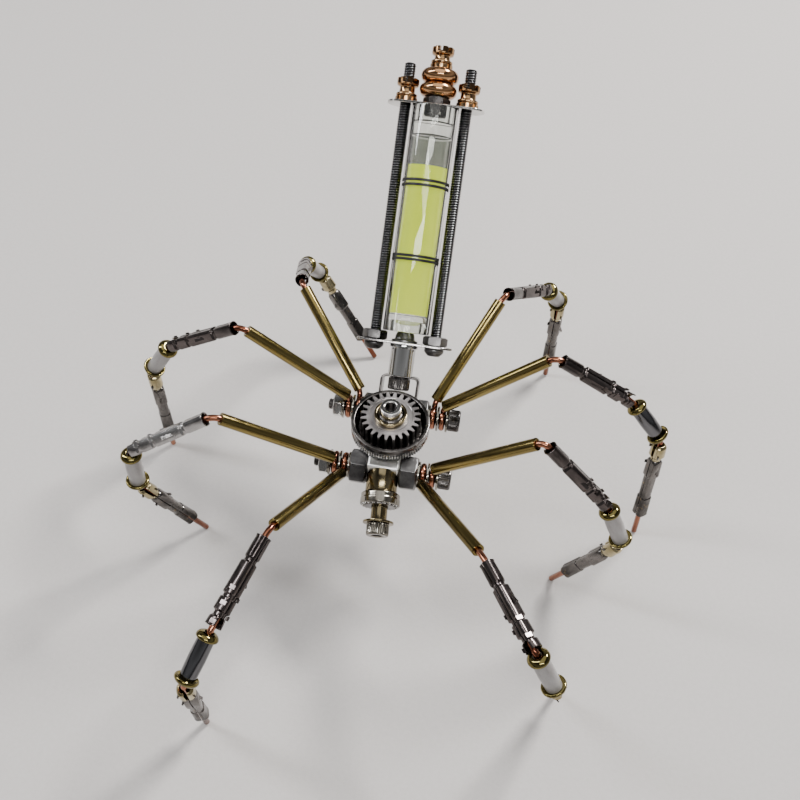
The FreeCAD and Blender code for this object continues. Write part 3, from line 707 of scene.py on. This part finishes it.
def build_gear_screw(base):
    cup = Shape().lathe(rounded([(CAP.radius - 0.3, 0), (CUP.radius, 0), (CUP.radius, CUP.height),
                                 (CUP.inner + 0.05, CUP.height), (CUP.inner - 0.2, CUP.floor),
                                 (CAP.radius - 0.3, CUP.floor)], 0.18, steps=4), count=64)
    add_piece("gear_cup_washer_turned", cup, "brass", "hub", on_hub(z=base),
              ("gear_cup_washer",))
    radius, height, hole = CAP.radius, CAP.height, CAP.hole
    section = rounded([(BOLT, 0), (radius, 0), (radius, height), (hole + 0.2, height),
                       (hole, height - 0.25), (hole, height - 1.9), (0.02, height - 2.1)],
                      0.3, steps=4, closed=False)
    cap = Shape().lathe(section, count=64, closed=False)
    add_piece("gear_screw_cap", cap, "nickel", "hub", on_hub(z=base + CUP.floor),
              ("gear_screw",))
    # A dark lining in the socket: painted shade inside the hole.
    well = [(hole - 0.02, height - 0.4), (hole - 0.02, height - 1.6),
            (hole * 0.55, height - 1.6), (hole * 0.45, height - 1.85), (0.02, height - 1.85),
            (0.02, height - 2.0), (hole + 0.1, height - 2.0), (hole + 0.1, height - 0.4)]
    add_piece("gear_screw_well", Shape().lathe(well, count=48), "dark", "hub",
              on_hub(z=base + CUP.floor))
    # A dark ring filling the gap between the head and the cup: painted shade under the head.
    under_head_shade = rounded([(radius - 0.05, 0.05), (CUP.inner - 0.1, 0.05), (CUP.inner - 0.3, 0.35),
                     (radius + 0.12, 0.6), (radius - 0.05, 0.6)], 0.1)
    add_piece("gear_screw_under_head_shade", Shape().lathe(under_head_shade, count=48), "dark", "hub",
              on_hub(z=base + CUP.floor))


def sloped_neck(radius, bore, length, lean, count=56):
    """Tube whose near end is cut slantwise by the upright nose of the block."""
    section = [(radius, 0), (radius, 0.35), (radius, length - 0.3), (radius - 0.25, length),
               (bore, length), (bore, 0)]
    rings = []
    for r, z in section:
        ring = circle(count, z, r)
        if z < 1:
            ring = [(x, y, y * math.tan(lean) + 0.03 + z) for x, y, z in ring]
        rings.append(ring)
    return Shape().rings(rings, closed=True)


def build_head():
    """Neck, ball race and snout on the race joint's axis, which droops from the nose."""
    forward = Vector(JOINTS["race_spin"]["axis"]).normalized()
    nose = HUB + Vector((0, -BLOCK.nose, NECK.rise))

    def at(distance):
        return axes(nose + forward * distance, forward, X_AXIS)

    length = NECK.length
    below = at(0).to_3x3().col[1]
    lean = math.atan2(below.y, -forward.y)
    neck = sloped_neck(NECK.radius, BOLT, length, lean)
    add_piece("neck_tube_turned", neck, "brass", "hub", at(0), ("neck_tube",), sharp=40)
    race_start = length + RACE.gap
    radius, width, ring = RACE.radius, RACE.length, RACE.ring
    outer = Shape().lathe(rounded([(3.0, 0.15), (radius - 0.5, 0.0), (radius - 0.1, 0.35),
                                   (radius - 0.1, 1.3), (radius, 1.55), (radius, width - 0.55),
                                   (radius - 0.2, width - 0.35), (ring + 0.3, width - 0.35),
                                   (ring + 0.3, width - 1.0), (3.0, width - 1.0)], 0.14), count=64)
    add_piece("head_race_outer", outer, "race", "race", at(race_start),
              ("head_race",))
    inner = Shape()
    tube(inner, ring - 0.35, RACE.bore, width - 0.2, shift(z=0.1))
    add_piece("head_race_inner", inner, "dark", "race", at(race_start))
    balls = Shape()
    size = RACE.ball
    ball = [(size * sin(pi * t / 8), -size * cos(pi * t / 8)) for t in range(1, 8)]
    for k in range(RACE.balls):
        angle = tau * k / RACE.balls
        centre = Vector((ring * cos(angle), ring * sin(angle), width - 0.48))
        balls.lathe(ball, Matrix.Translation(centre), 14, closed=False)
    add_piece("head_race_balls", balls, "nickel", "race", at(race_start), sharp=60)
    snout_length = SNOUT.length + RACE.length + 2 * RACE.gap
    snout = tube(Shape(), SNOUT.radius, BOLT, snout_length, None, 0.2)
    add_piece("snout_sleeve_turned", snout, "brass", "hub", at(length), ("snout_sleeve",))
    face = length + snout_length
    disc = washer(Shape(), SNOUT.washer, BOLT, WASHER.thick)
    add_piece("snout_washer_turned", disc, "brass", "hub", at(face),
              ("snout_washer",))
    head = cap_head(Shape(), teeth=30)
    add_piece("snout_screw_head", head, "race", "hub", at(face + WASHER.thick),
              ("snout_screw",))


# ---------------- waist and rear body


def build_waist():
    """Clevis bent from one strip: two arms joined by a base with round bends."""
    inner = BLOCK.width / 2 + WAIST.gap
    middle = inner + WAIST.sheet / 2
    reach, half, eye = WAIST.reach + WAIST.sheet / 2, WAIST.half, WAIST.eye
    bend = 1.1
    line = [(-middle, -eye * 0.98)]
    for k in range(9):
        z = -eye * 0.98 + (reach - bend + eye * 0.98) * (k + 1) / 9
        line.append((-middle, z))
    for k in range(1, 7):
        angle = pi / 2 * k / 6
        line.append((-middle + bend * (1 - cos(angle)), reach - bend + bend * sin(angle)))
    line += [(-middle + bend + (2 * middle - 2 * bend) * k / 4, reach) for k in range(1, 4)]
    line += [(-x, z) for x, z in reversed(line[:16])]

    def edges(z):
        """Lower and upper edge of the strip at a height above the bolt."""
        if z < 0:
            wide = math.sqrt(max(eye * eye - z * z, 0.01))
            return -wide, wide
        t = min(z / WAIST.reach, 1.0)
        low = -eye + (eye - half + WAIST.rise) * t
        high = eye + (half + WAIST.rise - eye) * t
        return low, high

    across = 6
    rows = []
    for x, z in line:
        low, high = edges(z)
        rows.append([(x, low + (high - low) * k / across, z) for k in range(across + 1)])
    place = axes(PIVOT, BODY_AXIS, X_AXIS)
    add_piece("waist_clevis_bent", Shape().sheet(rows), "dark", "rear_body", place,
              ("waist_clevis",), solid=WAIST.sheet, bevel=0.12, sharp=50)
    start = WAIST.reach + WAIST.sheet
    length = WAIST.length
    section = rounded([(BOLT, 0), (WAIST.radius, 0), (WAIST.radius, length - 0.9),
                       (WAIST.radius + 0.45, length - 0.8),
                       (WAIST.radius + 0.45, length), (BOLT, length)], 0.14)
    tube_piece = Shape().lathe(section, count=56)
    add_piece("waist_tube_turned", tube_piece, "tube_dark", "rear_body", on_body(start),
              ("waist_tube",))
    return start + length


def plate_shape():
    """Round-ended strip: its outline made into a slab with flat caps."""
    half, width, thick = PLATE.length / 2, PLATE.width / 2, PLATE.thick
    outline = []
    for side in (1, -1):
        for k in range(17):
            angle = pi / 2 - pi * k / 16
            x = (half - width) + width * cos(angle)
            outline.append((side * x, side * width * sin(angle)))
    bottom = [(x, y, 0) for x, y in outline]
    top = [(x, y, thick) for x, y in outline]
    return Shape().rings([bottom, top], caps=(True, True))


def castle(shape, radius, bore, z, height, slots, place=None):
    """A crown of teeth standing on a ring."""
    steps = 4
    for k in range(slots):
        start = tau * k / slots
        span = tau / slots * 0.62
        rings = []
        for s in range(steps + 1):
            angle = start + span * s / steps
            c, sn = cos(angle), sin(angle)
            rings.append([(bore * c, bore * sn, z), (radius * c, radius * sn, z),
                          (radius * c, radius * sn, z + height - 0.15),
                          ((radius - 0.15) * c, (radius - 0.15) * sn, z + height),
                          (bore * c, bore * sn, z + height)])
        shape.rings(rings, place, caps=(True, True))
    return shape


def build_plates(plate_start, upper):
    add_piece("lower_plate_pressed", plate_shape(), "silver", "rear_body",
              on_body(plate_start), ("lower_plate",), bevel=0.15)
    add_piece("upper_plate_pressed", plate_shape(), "nickel", "rear_body", on_body(upper),
              ("upper_plate",), bevel=0.15)


def build_rods(plate_start):
    """Two threaded rods with domed heads under the lower plate and nuts on top of it."""
    length = PLATE.gap + 2 * PLATE.thick + THUMB.height + THUMB.lift + ROD.above
    heads, nuts = Shape(), Shape()
    dome = rounded([(0.05, -ROD.head_height), (1.5, -ROD.head_height),
                    (ROD.head, -0.9), (ROD.head, 0), (0.05, 0)], 0.5, 4, False)
    for side, x in RODS:
        rod = thread(Shape(), length, pitch=0.62)
        add_piece(side + "_tie_rod_thread", rod, "thread", "rear_body",
                  on_body(plate_start, x), ("tie_rods",), sharp=75)
        heads.lathe(dome, shift(x), closed=False)
        hex_nut(nuts, NUT_ACROSS, NUT_HEIGHT, BOLT - 0.15, shift(x))
    add_piece("tie_rod_heads", heads, "satin", "rear_body", on_body(plate_start))
    add_piece("plate_nuts_detail", nuts, "satin", "rear_body",
              on_body(plate_start + PLATE.thick), ("plate_nuts",), sharp=24, bevel=0.1)


def build_dome_nut(plate_top):
    """Flanged dome nut seen through the foot of the vial."""
    radius, start = DOME.radius, DOME.start
    dome = [(DOME.flange, 0), (DOME.flange, DOME.thick - 0.1), (radius + 0.1, 0.75)]
    dome += [(radius * cos(a),
              start + radius * sin(a)) for a in (pi / 2 * k / 10 for k in range(10))]
    dome = [(0.05, 0)] + dome + [(0.05, start + radius)]
    add_piece("dome_nut_turned", Shape().lathe(dome, count=48, closed=False), "satin", "rear_body",
              on_body(plate_top))


def spool(height):
    """Turned nut: fluted foot, narrow waist, rounded rings and a deeply notched crown."""
    radius, waist, bore = THUMB.radius, THUMB.waist, BOLT + 0.05
    section = [(bore, 0), (radius - 0.5, 0), (radius - 0.5, 1.25), (radius - 0.1, 1.4),
               (radius - 0.1, 1.95), (waist + 0.1, 2.2), (waist, height - 2.1), (radius - 0.05,
                                                                                 height - 1.75),
               (radius - 0.05, height - 1.3), (bore, height - 1.3)]
    shape = Shape().lathe(rounded(section, 0.16), count=48)
    castle(shape, radius, bore + 0.1, height - 1.35, 1.35, 8)
    return castle(shape, radius, radius - 0.6, 0.0, 1.2, 9)


def build_thumb_nuts(start):
    for side, x in RODS:
        add_piece(side + "_thumb_nut_turned", spool(THUMB.height), "bronze", side + "_nut",
                  on_body(start, x), (side + "_thumb_nut",))


def build_body_screws(upper):
    """Cap screw heads: one inside the clevis, one under the upper plate."""
    reach = WAIST.reach
    heads = Shape()
    flip = Matrix.Rotation(pi, 4, "X")
    cap_head(heads, flip, teeth=30)
    cap_head(heads, shift(z=upper - reach) @ flip, teeth=30)
    add_piece("body_screw_heads", heads, "dark", "rear_body", on_body(reach),
              ("body_screws",))


def build_vial(foot, length):
    radius, bore = VIAL.radius, VIAL.bore
    wall = tube(Shape(), radius, bore, length, None, 0.25, 64)
    add_piece("vial_tube_clear", wall, "acrylic", "rear_body", on_body(foot),
              ("vial_tube",))
    inside = bore - 0.02
    recess = VIAL.recess
    plugs = Shape()
    foot_top, crown_base = VIAL.foot_plug, length - VIAL.crown_plug
    plugs.lathe(rounded([(0.02, VIAL.foot_recess), (recess, VIAL.foot_recess),
                         (recess, 0), (inside, 0), (inside, foot_top), (0.02, foot_top)],
                        0.2, closed=False), count=56, closed=False)
    crown_recess = length - VIAL.crown_recess
    plugs.lathe(rounded([(0.02, crown_base), (inside, crown_base), (inside, length),
                         (recess, length), (recess, crown_recess), (0.02, crown_recess)],
                        0.2, closed=False), count=56, closed=False)
    add_piece("vial_plugs_clear", plugs, "acrylic", "rear_body", on_body(foot),
              ("vial_plugs",))
    surface, flat, climb = crown_base - VIAL.bubble, VIAL.flat, VIAL.climb
    meniscus = [(flat + (inside - flat) * sin(a),
                 surface + climb * (1 - cos(a))) for a in (pi / 2 * k / 8 for k in range(9))]
    section = [(0.02, foot_top + 0.02), (inside, foot_top + 0.02), (inside, surface + climb)]
    section += list(reversed(meniscus[:-1])) + [(0.02, surface)]
    liquid = Shape().lathe(section, count=56, closed=False)
    add_piece("vial_liquid_level", liquid, "fluid", "rear_body", on_body(foot),
              ("vial_liquid",))
    # A thin grey glass skin over the meniscus: painted shade for the dark edge of the air bubble.
    skin = 0.4
    outer = [(flat, surface + 0.05)] + [(r - 0.05, z + 0.05) for r, z in meniscus[1:]]
    outer.append((inside - 0.05, crown_base - 0.6))
    inner = [(max(r - skin, 0.02), z + skin * 0.8) for r, z in reversed(outer)]
    inner[0] = (inside - skin, crown_base - 0.6)
    cup = [(0.02, surface + 0.05)] + outer + inner + [(0.02, surface + 0.05 + skin * 0.8)]
    add_piece("vial_bubble_skin", Shape().lathe(cup, count=56, closed=False), "bubble", "rear_body",
              on_body(foot))
    bands = Shape()
    for z in VIAL.lines:
        tube(bands, radius + 0.06, radius, 0.7, shift(z=z), 0.05, 64)
    # Two thin black rings in the bore, at the crown plug's lower face and at the floor of its
    # recess: painted shade for those edges where they show through the wall.
    for z in (crown_base - 0.1, crown_recess):
        tube(bands, inside - 0.15, inside - 0.45, 0.25, shift(z=z), 0.05, 64)
    add_piece("vial_lines_and_edge_shade", bands, "line", "rear_body", on_body(foot))


def build_finial(upper_top):
    nut = hex_nut(Shape(), FINIAL.nut, FINIAL.nut_height, BOLT)
    add_piece("finial_nut_detail", nut, "dark", "rear_body", on_body(upper_top),
              ("finial_nut",))
    height, radius = FINIAL.ring_height, FINIAL.ring
    tube_radius = height / 2
    rings = Shape()
    for turn in (0, 1):
        section = []
        for k in range(24):
            angle = tau * k / 24
            section.append((radius - tube_radius + tube_radius * cos(angle),
                            height * (turn + 0.5) + tube_radius * sin(angle)))
        rings.lathe(section, count=64)
    add_piece("finial_rings_cast", rings, "rings", "rear_body",
              on_body(upper_top + FINIAL.nut_height), ("finial_rings",), sharp=60)
    post_start = upper_top + FINIAL.nut_height + 2 * height
    post = spool(FINIAL.post_height)
    post.lathe([(0.05, 0.3), (BOLT + 0.1, 0.3), (BOLT + 0.1, 3.6), (0.05, 3.6)], closed=False)
    add_piece("finial_post_turned", post, "bronze", "rear_body", on_body(post_start),
              ("finial_post",))


# ---------------- legs


def heading(side, azimuth, pitch_angle):
    azimuth, pitch_angle = radians(azimuth), radians(pitch_angle)
    return Vector((side * cos(azimuth) * cos(pitch_angle), sin(azimuth) * cos(pitch_angle),
                   sin(pitch_angle)))


def build_hip_wire(name, eye, knee):
    """Copper wire: a turn and a bit round the bolt, up to the neck and into the tube."""
    line = knee - eye
    rise = Vector((0, line.y, line.z)).normalized()
    loop = BOLT + 0.05 + WIRE
    neck = rise * 4.4
    thigh = (line - neck).normalized()
    sideways = X_AXIS.cross(rise)
    sweep_angle = radians(352)
    side = 1 if line.x > 0 else -1
    path = []
    for k in range(37):
        angle = -sweep_angle + sweep_angle * k / 36
        drift = -0.12 * side * (1 - k / 36)
        path.append((rise * cos(angle) + sideways * sin(angle)) * loop + X_AXIS * drift)
    leave = [path[-1], rise * 3.6 + sideways * 0.35, neck + thigh * 1.2, neck + thigh * 5]
    path = path[:-2] + bent(leave, (0.6, 0.9), 5)
    shape = sweep(path, WIRE - 0.02, 20, taper=0.25)
    add_piece(name + "_eye_wire", shape, "copper", name + "_upper_leg",
              Matrix.Translation(eye), (name + "_leg_hip_wire",), sharp=60)
    return neck + eye, thigh


def folded(stations, steps=26):
    """Skin a rolled sheet through stations of (z, half width, half height, gap, squareness).

    The gap is the opening left on the +Y side, in degrees.
    """
    rows = []
    for z, wide, high, gap, square in stations:
        row = []
        for k in range(steps + 1):
            angle = radians(90 + gap / 2 + (360 - gap) * k / steps)
            c, s = cos(angle), sin(angle)
            x = math.copysign(abs(c) ** (2 / square), c) * wide
            y = math.copysign(abs(s) ** (2 / square), s) * high
            row.append((x, y, z))
        rows.append(row)
    return Shape().sheet(rows)


def barb(shape, z, side, length, lean, width, height=0.0):
    """A thin lance that springs out of the terminal's wall."""
    out = Vector((side, 0.15, 0)).normalized()
    along = (Z_AXIS * cos(lean) + out * sin(lean)).normalized()
    start = Vector((side * 1.35, height, z))
    place = axes(start + along * length / 2, along, out)
    return shape.box((0.22, width, length), place)


def add_tabs(shape, heights, size, tilt):
    """Folded ears on alternate sides of a terminal's seam."""
    for k, z in enumerate(heights):
        side = 1 if k % 2 else -1
        shape.box(size, shift(side * 1.6, 1.0, z) @ Matrix.Rotation(tilt * side, 4, "Z"))


def build_knee_terminal(name, knee, crimp, roll, finish_and_sheen, generator):
    """Crimp terminal: closed barrel with a seam, folded box with lances, and end wings."""
    body = name + "_lower_leg"
    turn = Matrix.Rotation(radians(roll), 4, "Z")
    place = axes(knee, crimp, Z_AXIS.cross(crimp)) @ turn
    start, barrel = SLEEVE.start, SLEEVE.start + SLEEVE.length
    sleeve = folded([(start, 1.58, 1.58, 5, 2.4), (start + 0.5, 1.42, 1.42, 5, 2.6),
                     (barrel - 0.4, 1.42, 1.42, 5, 3.0), (barrel, 1.3, 1.3, 10, 3.0)])
    add_piece(name + "_knee_barrel", sleeve, finish_and_sheen, body, place,
              (name + "_leg_shin_fittings",), solid=0.3, bevel=0.06)
    end = CRIMP_SPAN - 0.7
    channel = folded([(barrel - 0.5, 1.15, 1.1, 0.6, 3.0), (barrel + 0.8, 1.15, 1.1, 0.6, 3.2),
                      (barrel + 1.2, 1.55, 1.4, 0.6, 4.4), (barrel + 8.6, 1.6, 1.45, 0.6, 4.8),
                      (barrel + 8.9, 1.25, 1.15, 0.6, 4.0), (barrel + 9.6, 1.25, 1.15, 0.6, 4.0),
                      (barrel + 9.9, 1.55, 1.4, 0.6, 4.8), (end - 3.6, 1.6, 1.45, 0.6, 4.8),
                      (end - 3.3, 1.15, 1.1, 0.6, 3.4), (end - 2.3, 1.15, 1.1, 0.6, 3.2),
                      (end - 1.9, 1.6, 1.5, 40, 3.0), (end, 1.75, 1.6, 60, 2.6)])
    add_piece(name + "_knee_channel", channel, finish_and_sheen, body, place, solid=0.26,
              bevel=0.06)
    lances = Shape()
    lean = radians(19 + generator.uniform(-3, 5))
    barb(lances, barrel + 3.0, 1, 3.2, lean, 0.8)
    barb(lances, barrel + 5.2, -1, 3.0, radians(15), 0.8)
    heights = (barrel + 7.3, barrel + 9.2, barrel + 11.0, end - 2.8, end - 0.9)
    add_tabs(lances, heights, (0.28, 1.5, 1.0), 0.3)
    add_piece(name + "_knee_lances", lances, finish_and_sheen, body, place, bevel=0.05)


def build_shin(name, upper, shin, finish_and_sheen):
    """Tube held between two flanged collars with rolled lips."""
    body = name + "_lower_leg"
    place = axes(upper, shin)
    first, length = COLLAR.start, COLLAR.length
    for label, lip, start, flip in (("upper", COLLAR.upper, first, 1), ("lower", COLLAR.lower,
                                                                        SHIN_SPAN - first, -1)):
        section = [(1.0, 0.0), (1.5, 0.0), (lip - 0.5, 0.25), (lip - 0.1, 0.75), (lip, 1.1),
                   (lip - 0.1, length - 0.15), (lip - 0.35, length), (lip - 0.5, length - 0.2),
                   (1.2, 0.8)]
        shape = Shape().lathe(rounded([(r, flip * z) for r, z in section], 0.3, 4), count=48)
        collar = axes(upper + shin * start, shin)
        add_piece(f"{name}_{label}_collar", shape, "collar", body, collar)
    inner = first + 0.75
    section = rounded([(1.0, inner), (SHIN_RADIUS - 0.15, inner), (SHIN_RADIUS - 0.02,
                                                                   SHIN_SPAN / 2),
                       (SHIN_RADIUS - 0.15, SHIN_SPAN - inner), (1.0, SHIN_SPAN - inner)], 0.2)
    barrel = Shape().lathe(section, count=48)
    # One steel for every shin, in two painted copies: a bright reflection and a dim reflection.
    material = "shin_bright_reflection" if finish_and_sheen == "bright_sheen" else "shin_dim_reflection"
    add_piece(name + "_shin_barrel", barrel, material, body, place)


def build_foot(name, lower, foot, reach, roll, generator):
    """Tinned terminal: brassy wings by the collar, box, and a barrel gripping the pin."""
    body = name + "_lower_leg"
    turn = Matrix.Rotation(radians(roll + 40), 4, "Z")
    place = axes(lower, foot, Z_AXIS.cross(foot) if abs(foot.z) < 0.97 else X_AXIS) @ turn
    end = reach - FOOT_BARE
    start = 1.6
    wings = folded([(start, 1.2, 1.2, 30, 2.2), (start + 0.6, 1.7, 1.6, 20, 2.6),
                    (start + 3.6, 1.75, 1.65, 12, 2.8), (start + 4.2, 1.25, 1.2, 10, 2.4),
                    (start + 5.4, 1.15, 1.1, 8, 2.4)])
    add_piece(name + "_foot_wings", wings, "cream", body, place, solid=0.3, bevel=0.06)
    middle = start + 5.2
    case = folded([(middle, 1.2, 1.15, 0.6, 2.6), (middle + 0.8, 1.6, 1.45, 0.6, 3.6),
                   (middle + 5.6, 1.65, 1.5, 0.6, 4.2), (middle + 6.0, 1.3, 1.25, 0.6, 3.4),
                   (end - 6.6, 1.3, 1.25, 0.6, 3.0), (end - 6.3, 1.5, 1.4, 0.6, 3.6),
                   (end - 0.3, 1.55, 1.45, 0.6, 3.8), (end, 1.65, 1.5, 0.6, 3.6)])
    add_piece(name + "_foot_case", case, "tin", body, place, solid=0.32, bevel=0.07)
    tabs = Shape()
    barb(tabs, middle + 2.2, 1, 2.4, radians(22 + generator.uniform(-5, 5)), 0.7)
    add_tabs(tabs, (start + 1.0, start + 3.0, middle + 1.6), (0.3, 1.3, 0.9), -0.3)
    add_piece(name + "_foot_tabs", tabs, "tin", body, place, bevel=0.05)


def build_leg(name, row):
    side, crimp, shin, foot, finish_and_sheen, roll = row
    generator = random.Random(name)
    eye, knee = joint_at(name + "_hip"), joint_at(name + "_knee")
    crimp, shin, foot = (heading(side, *angles) for angles in (crimp, shin, foot))
    upper = knee + crimp * CRIMP_SPAN
    lower = upper + shin * SHIN_SPAN
    reach = lower.z / -foot.z
    tip = lower + foot * reach
    neck, thigh = build_hip_wire(name, eye, knee)
    femur = (knee - neck).length
    bore = Shape()
    tube(bore, TUBE, 0.85, femur - FEMUR.start - FEMUR.bare, None, 0.12, 36)
    add_piece(name + "_femur_tube_cut", bore, "tube", name + "_upper_leg",
              axes(neck + thigh * FEMUR.start, thigh), (name + "_leg_femur_tube",))
    bend = bent([knee - thigh * 6.5, knee, knee + crimp * 6.0], (2.4,), 12)
    knee_wire = sweep(bend, WIRE, 20)
    piece = add_piece(name + "_knee_wire", knee_wire, "copper", None, sharp=60)
    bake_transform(piece)
    terminal = "silver" if name == "right_midfront" else "gunmetal"
    build_knee_terminal(name, knee, crimp, roll, terminal, generator)
    build_shin(name, upper, shin, finish_and_sheen)
    path = bent([knee + crimp * 5.0, upper, lower, tip - foot * 0.35], (1.6, 1.6), 8)
    core = sweep(path, WIRE, 20, taper=0.4)
    add_piece(name + "_shin_core", core, "copper", name + "_lower_leg", None,
              (name + "_leg_shin_wire",), sharp=60)
    build_foot(name, lower, foot, reach, roll, generator)


# ---------------- stage, light and camera


def build_stage():
    floor_size = 3.0
    mesh = bpy.data.meshes.new("floor")
    verts = [(x * floor_size, y * floor_size, 0) for x, y in ((-1, -1), (1, -1), (1, 1), (-1, 1))]
    mesh.from_pydata(verts, [], [(0, 1, 2, 3)])
    floor = add_object("floor", mesh)
    paint = Paint("Pale floor", Roughness=0.75)
    cloth = paint.noise(900, detail=3.0)
    paint.link("Base Color", paint.ramp(cloth, (0.3, (0.50, 0.475, 0.46)), (0.7, (0.53, 0.505,
                                                                                  0.49))))
    paint.bump(paint.noise(1400), 0.25, 0.2)
    mesh.materials.append(paint.material)


def area_light(name, place, target, size, energy, colour=(1, 1, 1)):
    light = bpy.data.lights.new(name, "AREA")
    light.shape, light.size, light.size_y = "RECTANGLE", size[0], size[1]
    light.energy, light.color = energy, colour
    lamp = add_object(name, light)
    lamp.location = place
    aim = Vector(target) - Vector(place)
    lamp.rotation_euler = aim.to_track_quat("-Z", "Y").to_euler()


def build_light():
    """Strips and a window in a dark room, so that the metals show bright and dark bands."""
    centre = (0, 0, 0.03)
    area_light("key", (0.42, 0.50, 0.70), centre, (0.26, 0.16), 14.0, (1, 0.985, 0.96))
    area_light("window", (-0.60, 0.05, 0.62), centre, (0.12, 0.55), 4.5, (0.95, 0.97, 1))
    area_light("front", (0.10, -0.55, 0.75), centre, (0.55, 0.10), 3.2, (1, 0.99, 0.98))
    area_light("overhead", (0.0, 0.10, 1.0), centre, (0.9, 0.9), 3.5, (1, 0.99, 0.98))
    world = bpy.data.worlds.new("studio")
    bpy.context.scene.world = world
    world.use_nodes = True
    tree = world.node_tree
    coordinates = tree.nodes.new("ShaderNodeTexCoord")
    split = tree.nodes.new("ShaderNodeSeparateXYZ")
    tree.links.new(coordinates.outputs["Generated"], split.inputs[0])
    ramp = tree.nodes.new("ShaderNodeValToRGB")
    tree.links.new(split.outputs["Z"], ramp.inputs["Fac"])
    stops = ((0.0, 0.05), (0.30, 0.45), (0.52, 0.30), (0.75, 0.10), (1.0, 0.06))
    fill_ramp(ramp.color_ramp, [(at, (grey, grey, grey * 1.01)) for at, grey in stops])
    background = tree.nodes["Background"]
    tree.links.new(ramp.outputs["Color"], background.inputs["Color"])
    background.inputs["Strength"].default_value = 0.8


def build_camera():
    """Steep view from in front of the head, a little to its left, rolled slightly."""
    stand = Vector((21.6, -156.0, 212.2))
    azimuth, elevation, roll = (radians(v) for v in (-7.12, 51.2, 2.4))
    forward = Vector((sin(azimuth) * cos(elevation), cos(azimuth) * cos(elevation),
                      -sin(elevation)))
    level = Vector((cos(azimuth), -sin(azimuth), 0))
    upright = level.cross(forward)
    right = level * cos(roll) + upright * sin(roll)
    up = upright * cos(roll) - level * sin(roll)
    data = bpy.data.cameras.new("camera")
    data.lens, data.sensor_width, data.clip_start = 47.5, 36, 0.005
    camera = add_object("camera", data)
    place = Matrix((right, up, -forward)).transposed().to_4x4()
    place.translation = (HUB + stand) * MM
    camera.matrix_world = place
    bpy.context.scene.camera = camera


def main():
    build_block()
    build_axles()
    build_clockwork()
    build_head()
    plate_start = build_waist()
    plate_top = plate_start + PLATE.thick
    upper = plate_top + PLATE.gap
    build_plates(plate_start, upper)
    build_rods(plate_start)
    build_dome_nut(plate_top)
    build_thumb_nuts(upper + PLATE.thick + THUMB.lift)
    build_body_screws(upper)
    build_vial(plate_top + VIAL.foot, PLATE.gap - VIAL.foot)
    build_finial(upper + PLATE.thick)
    for name, row in LEGS.items():
        build_leg(name, row)
    build_stage()
    build_light()
    build_camera()


main()
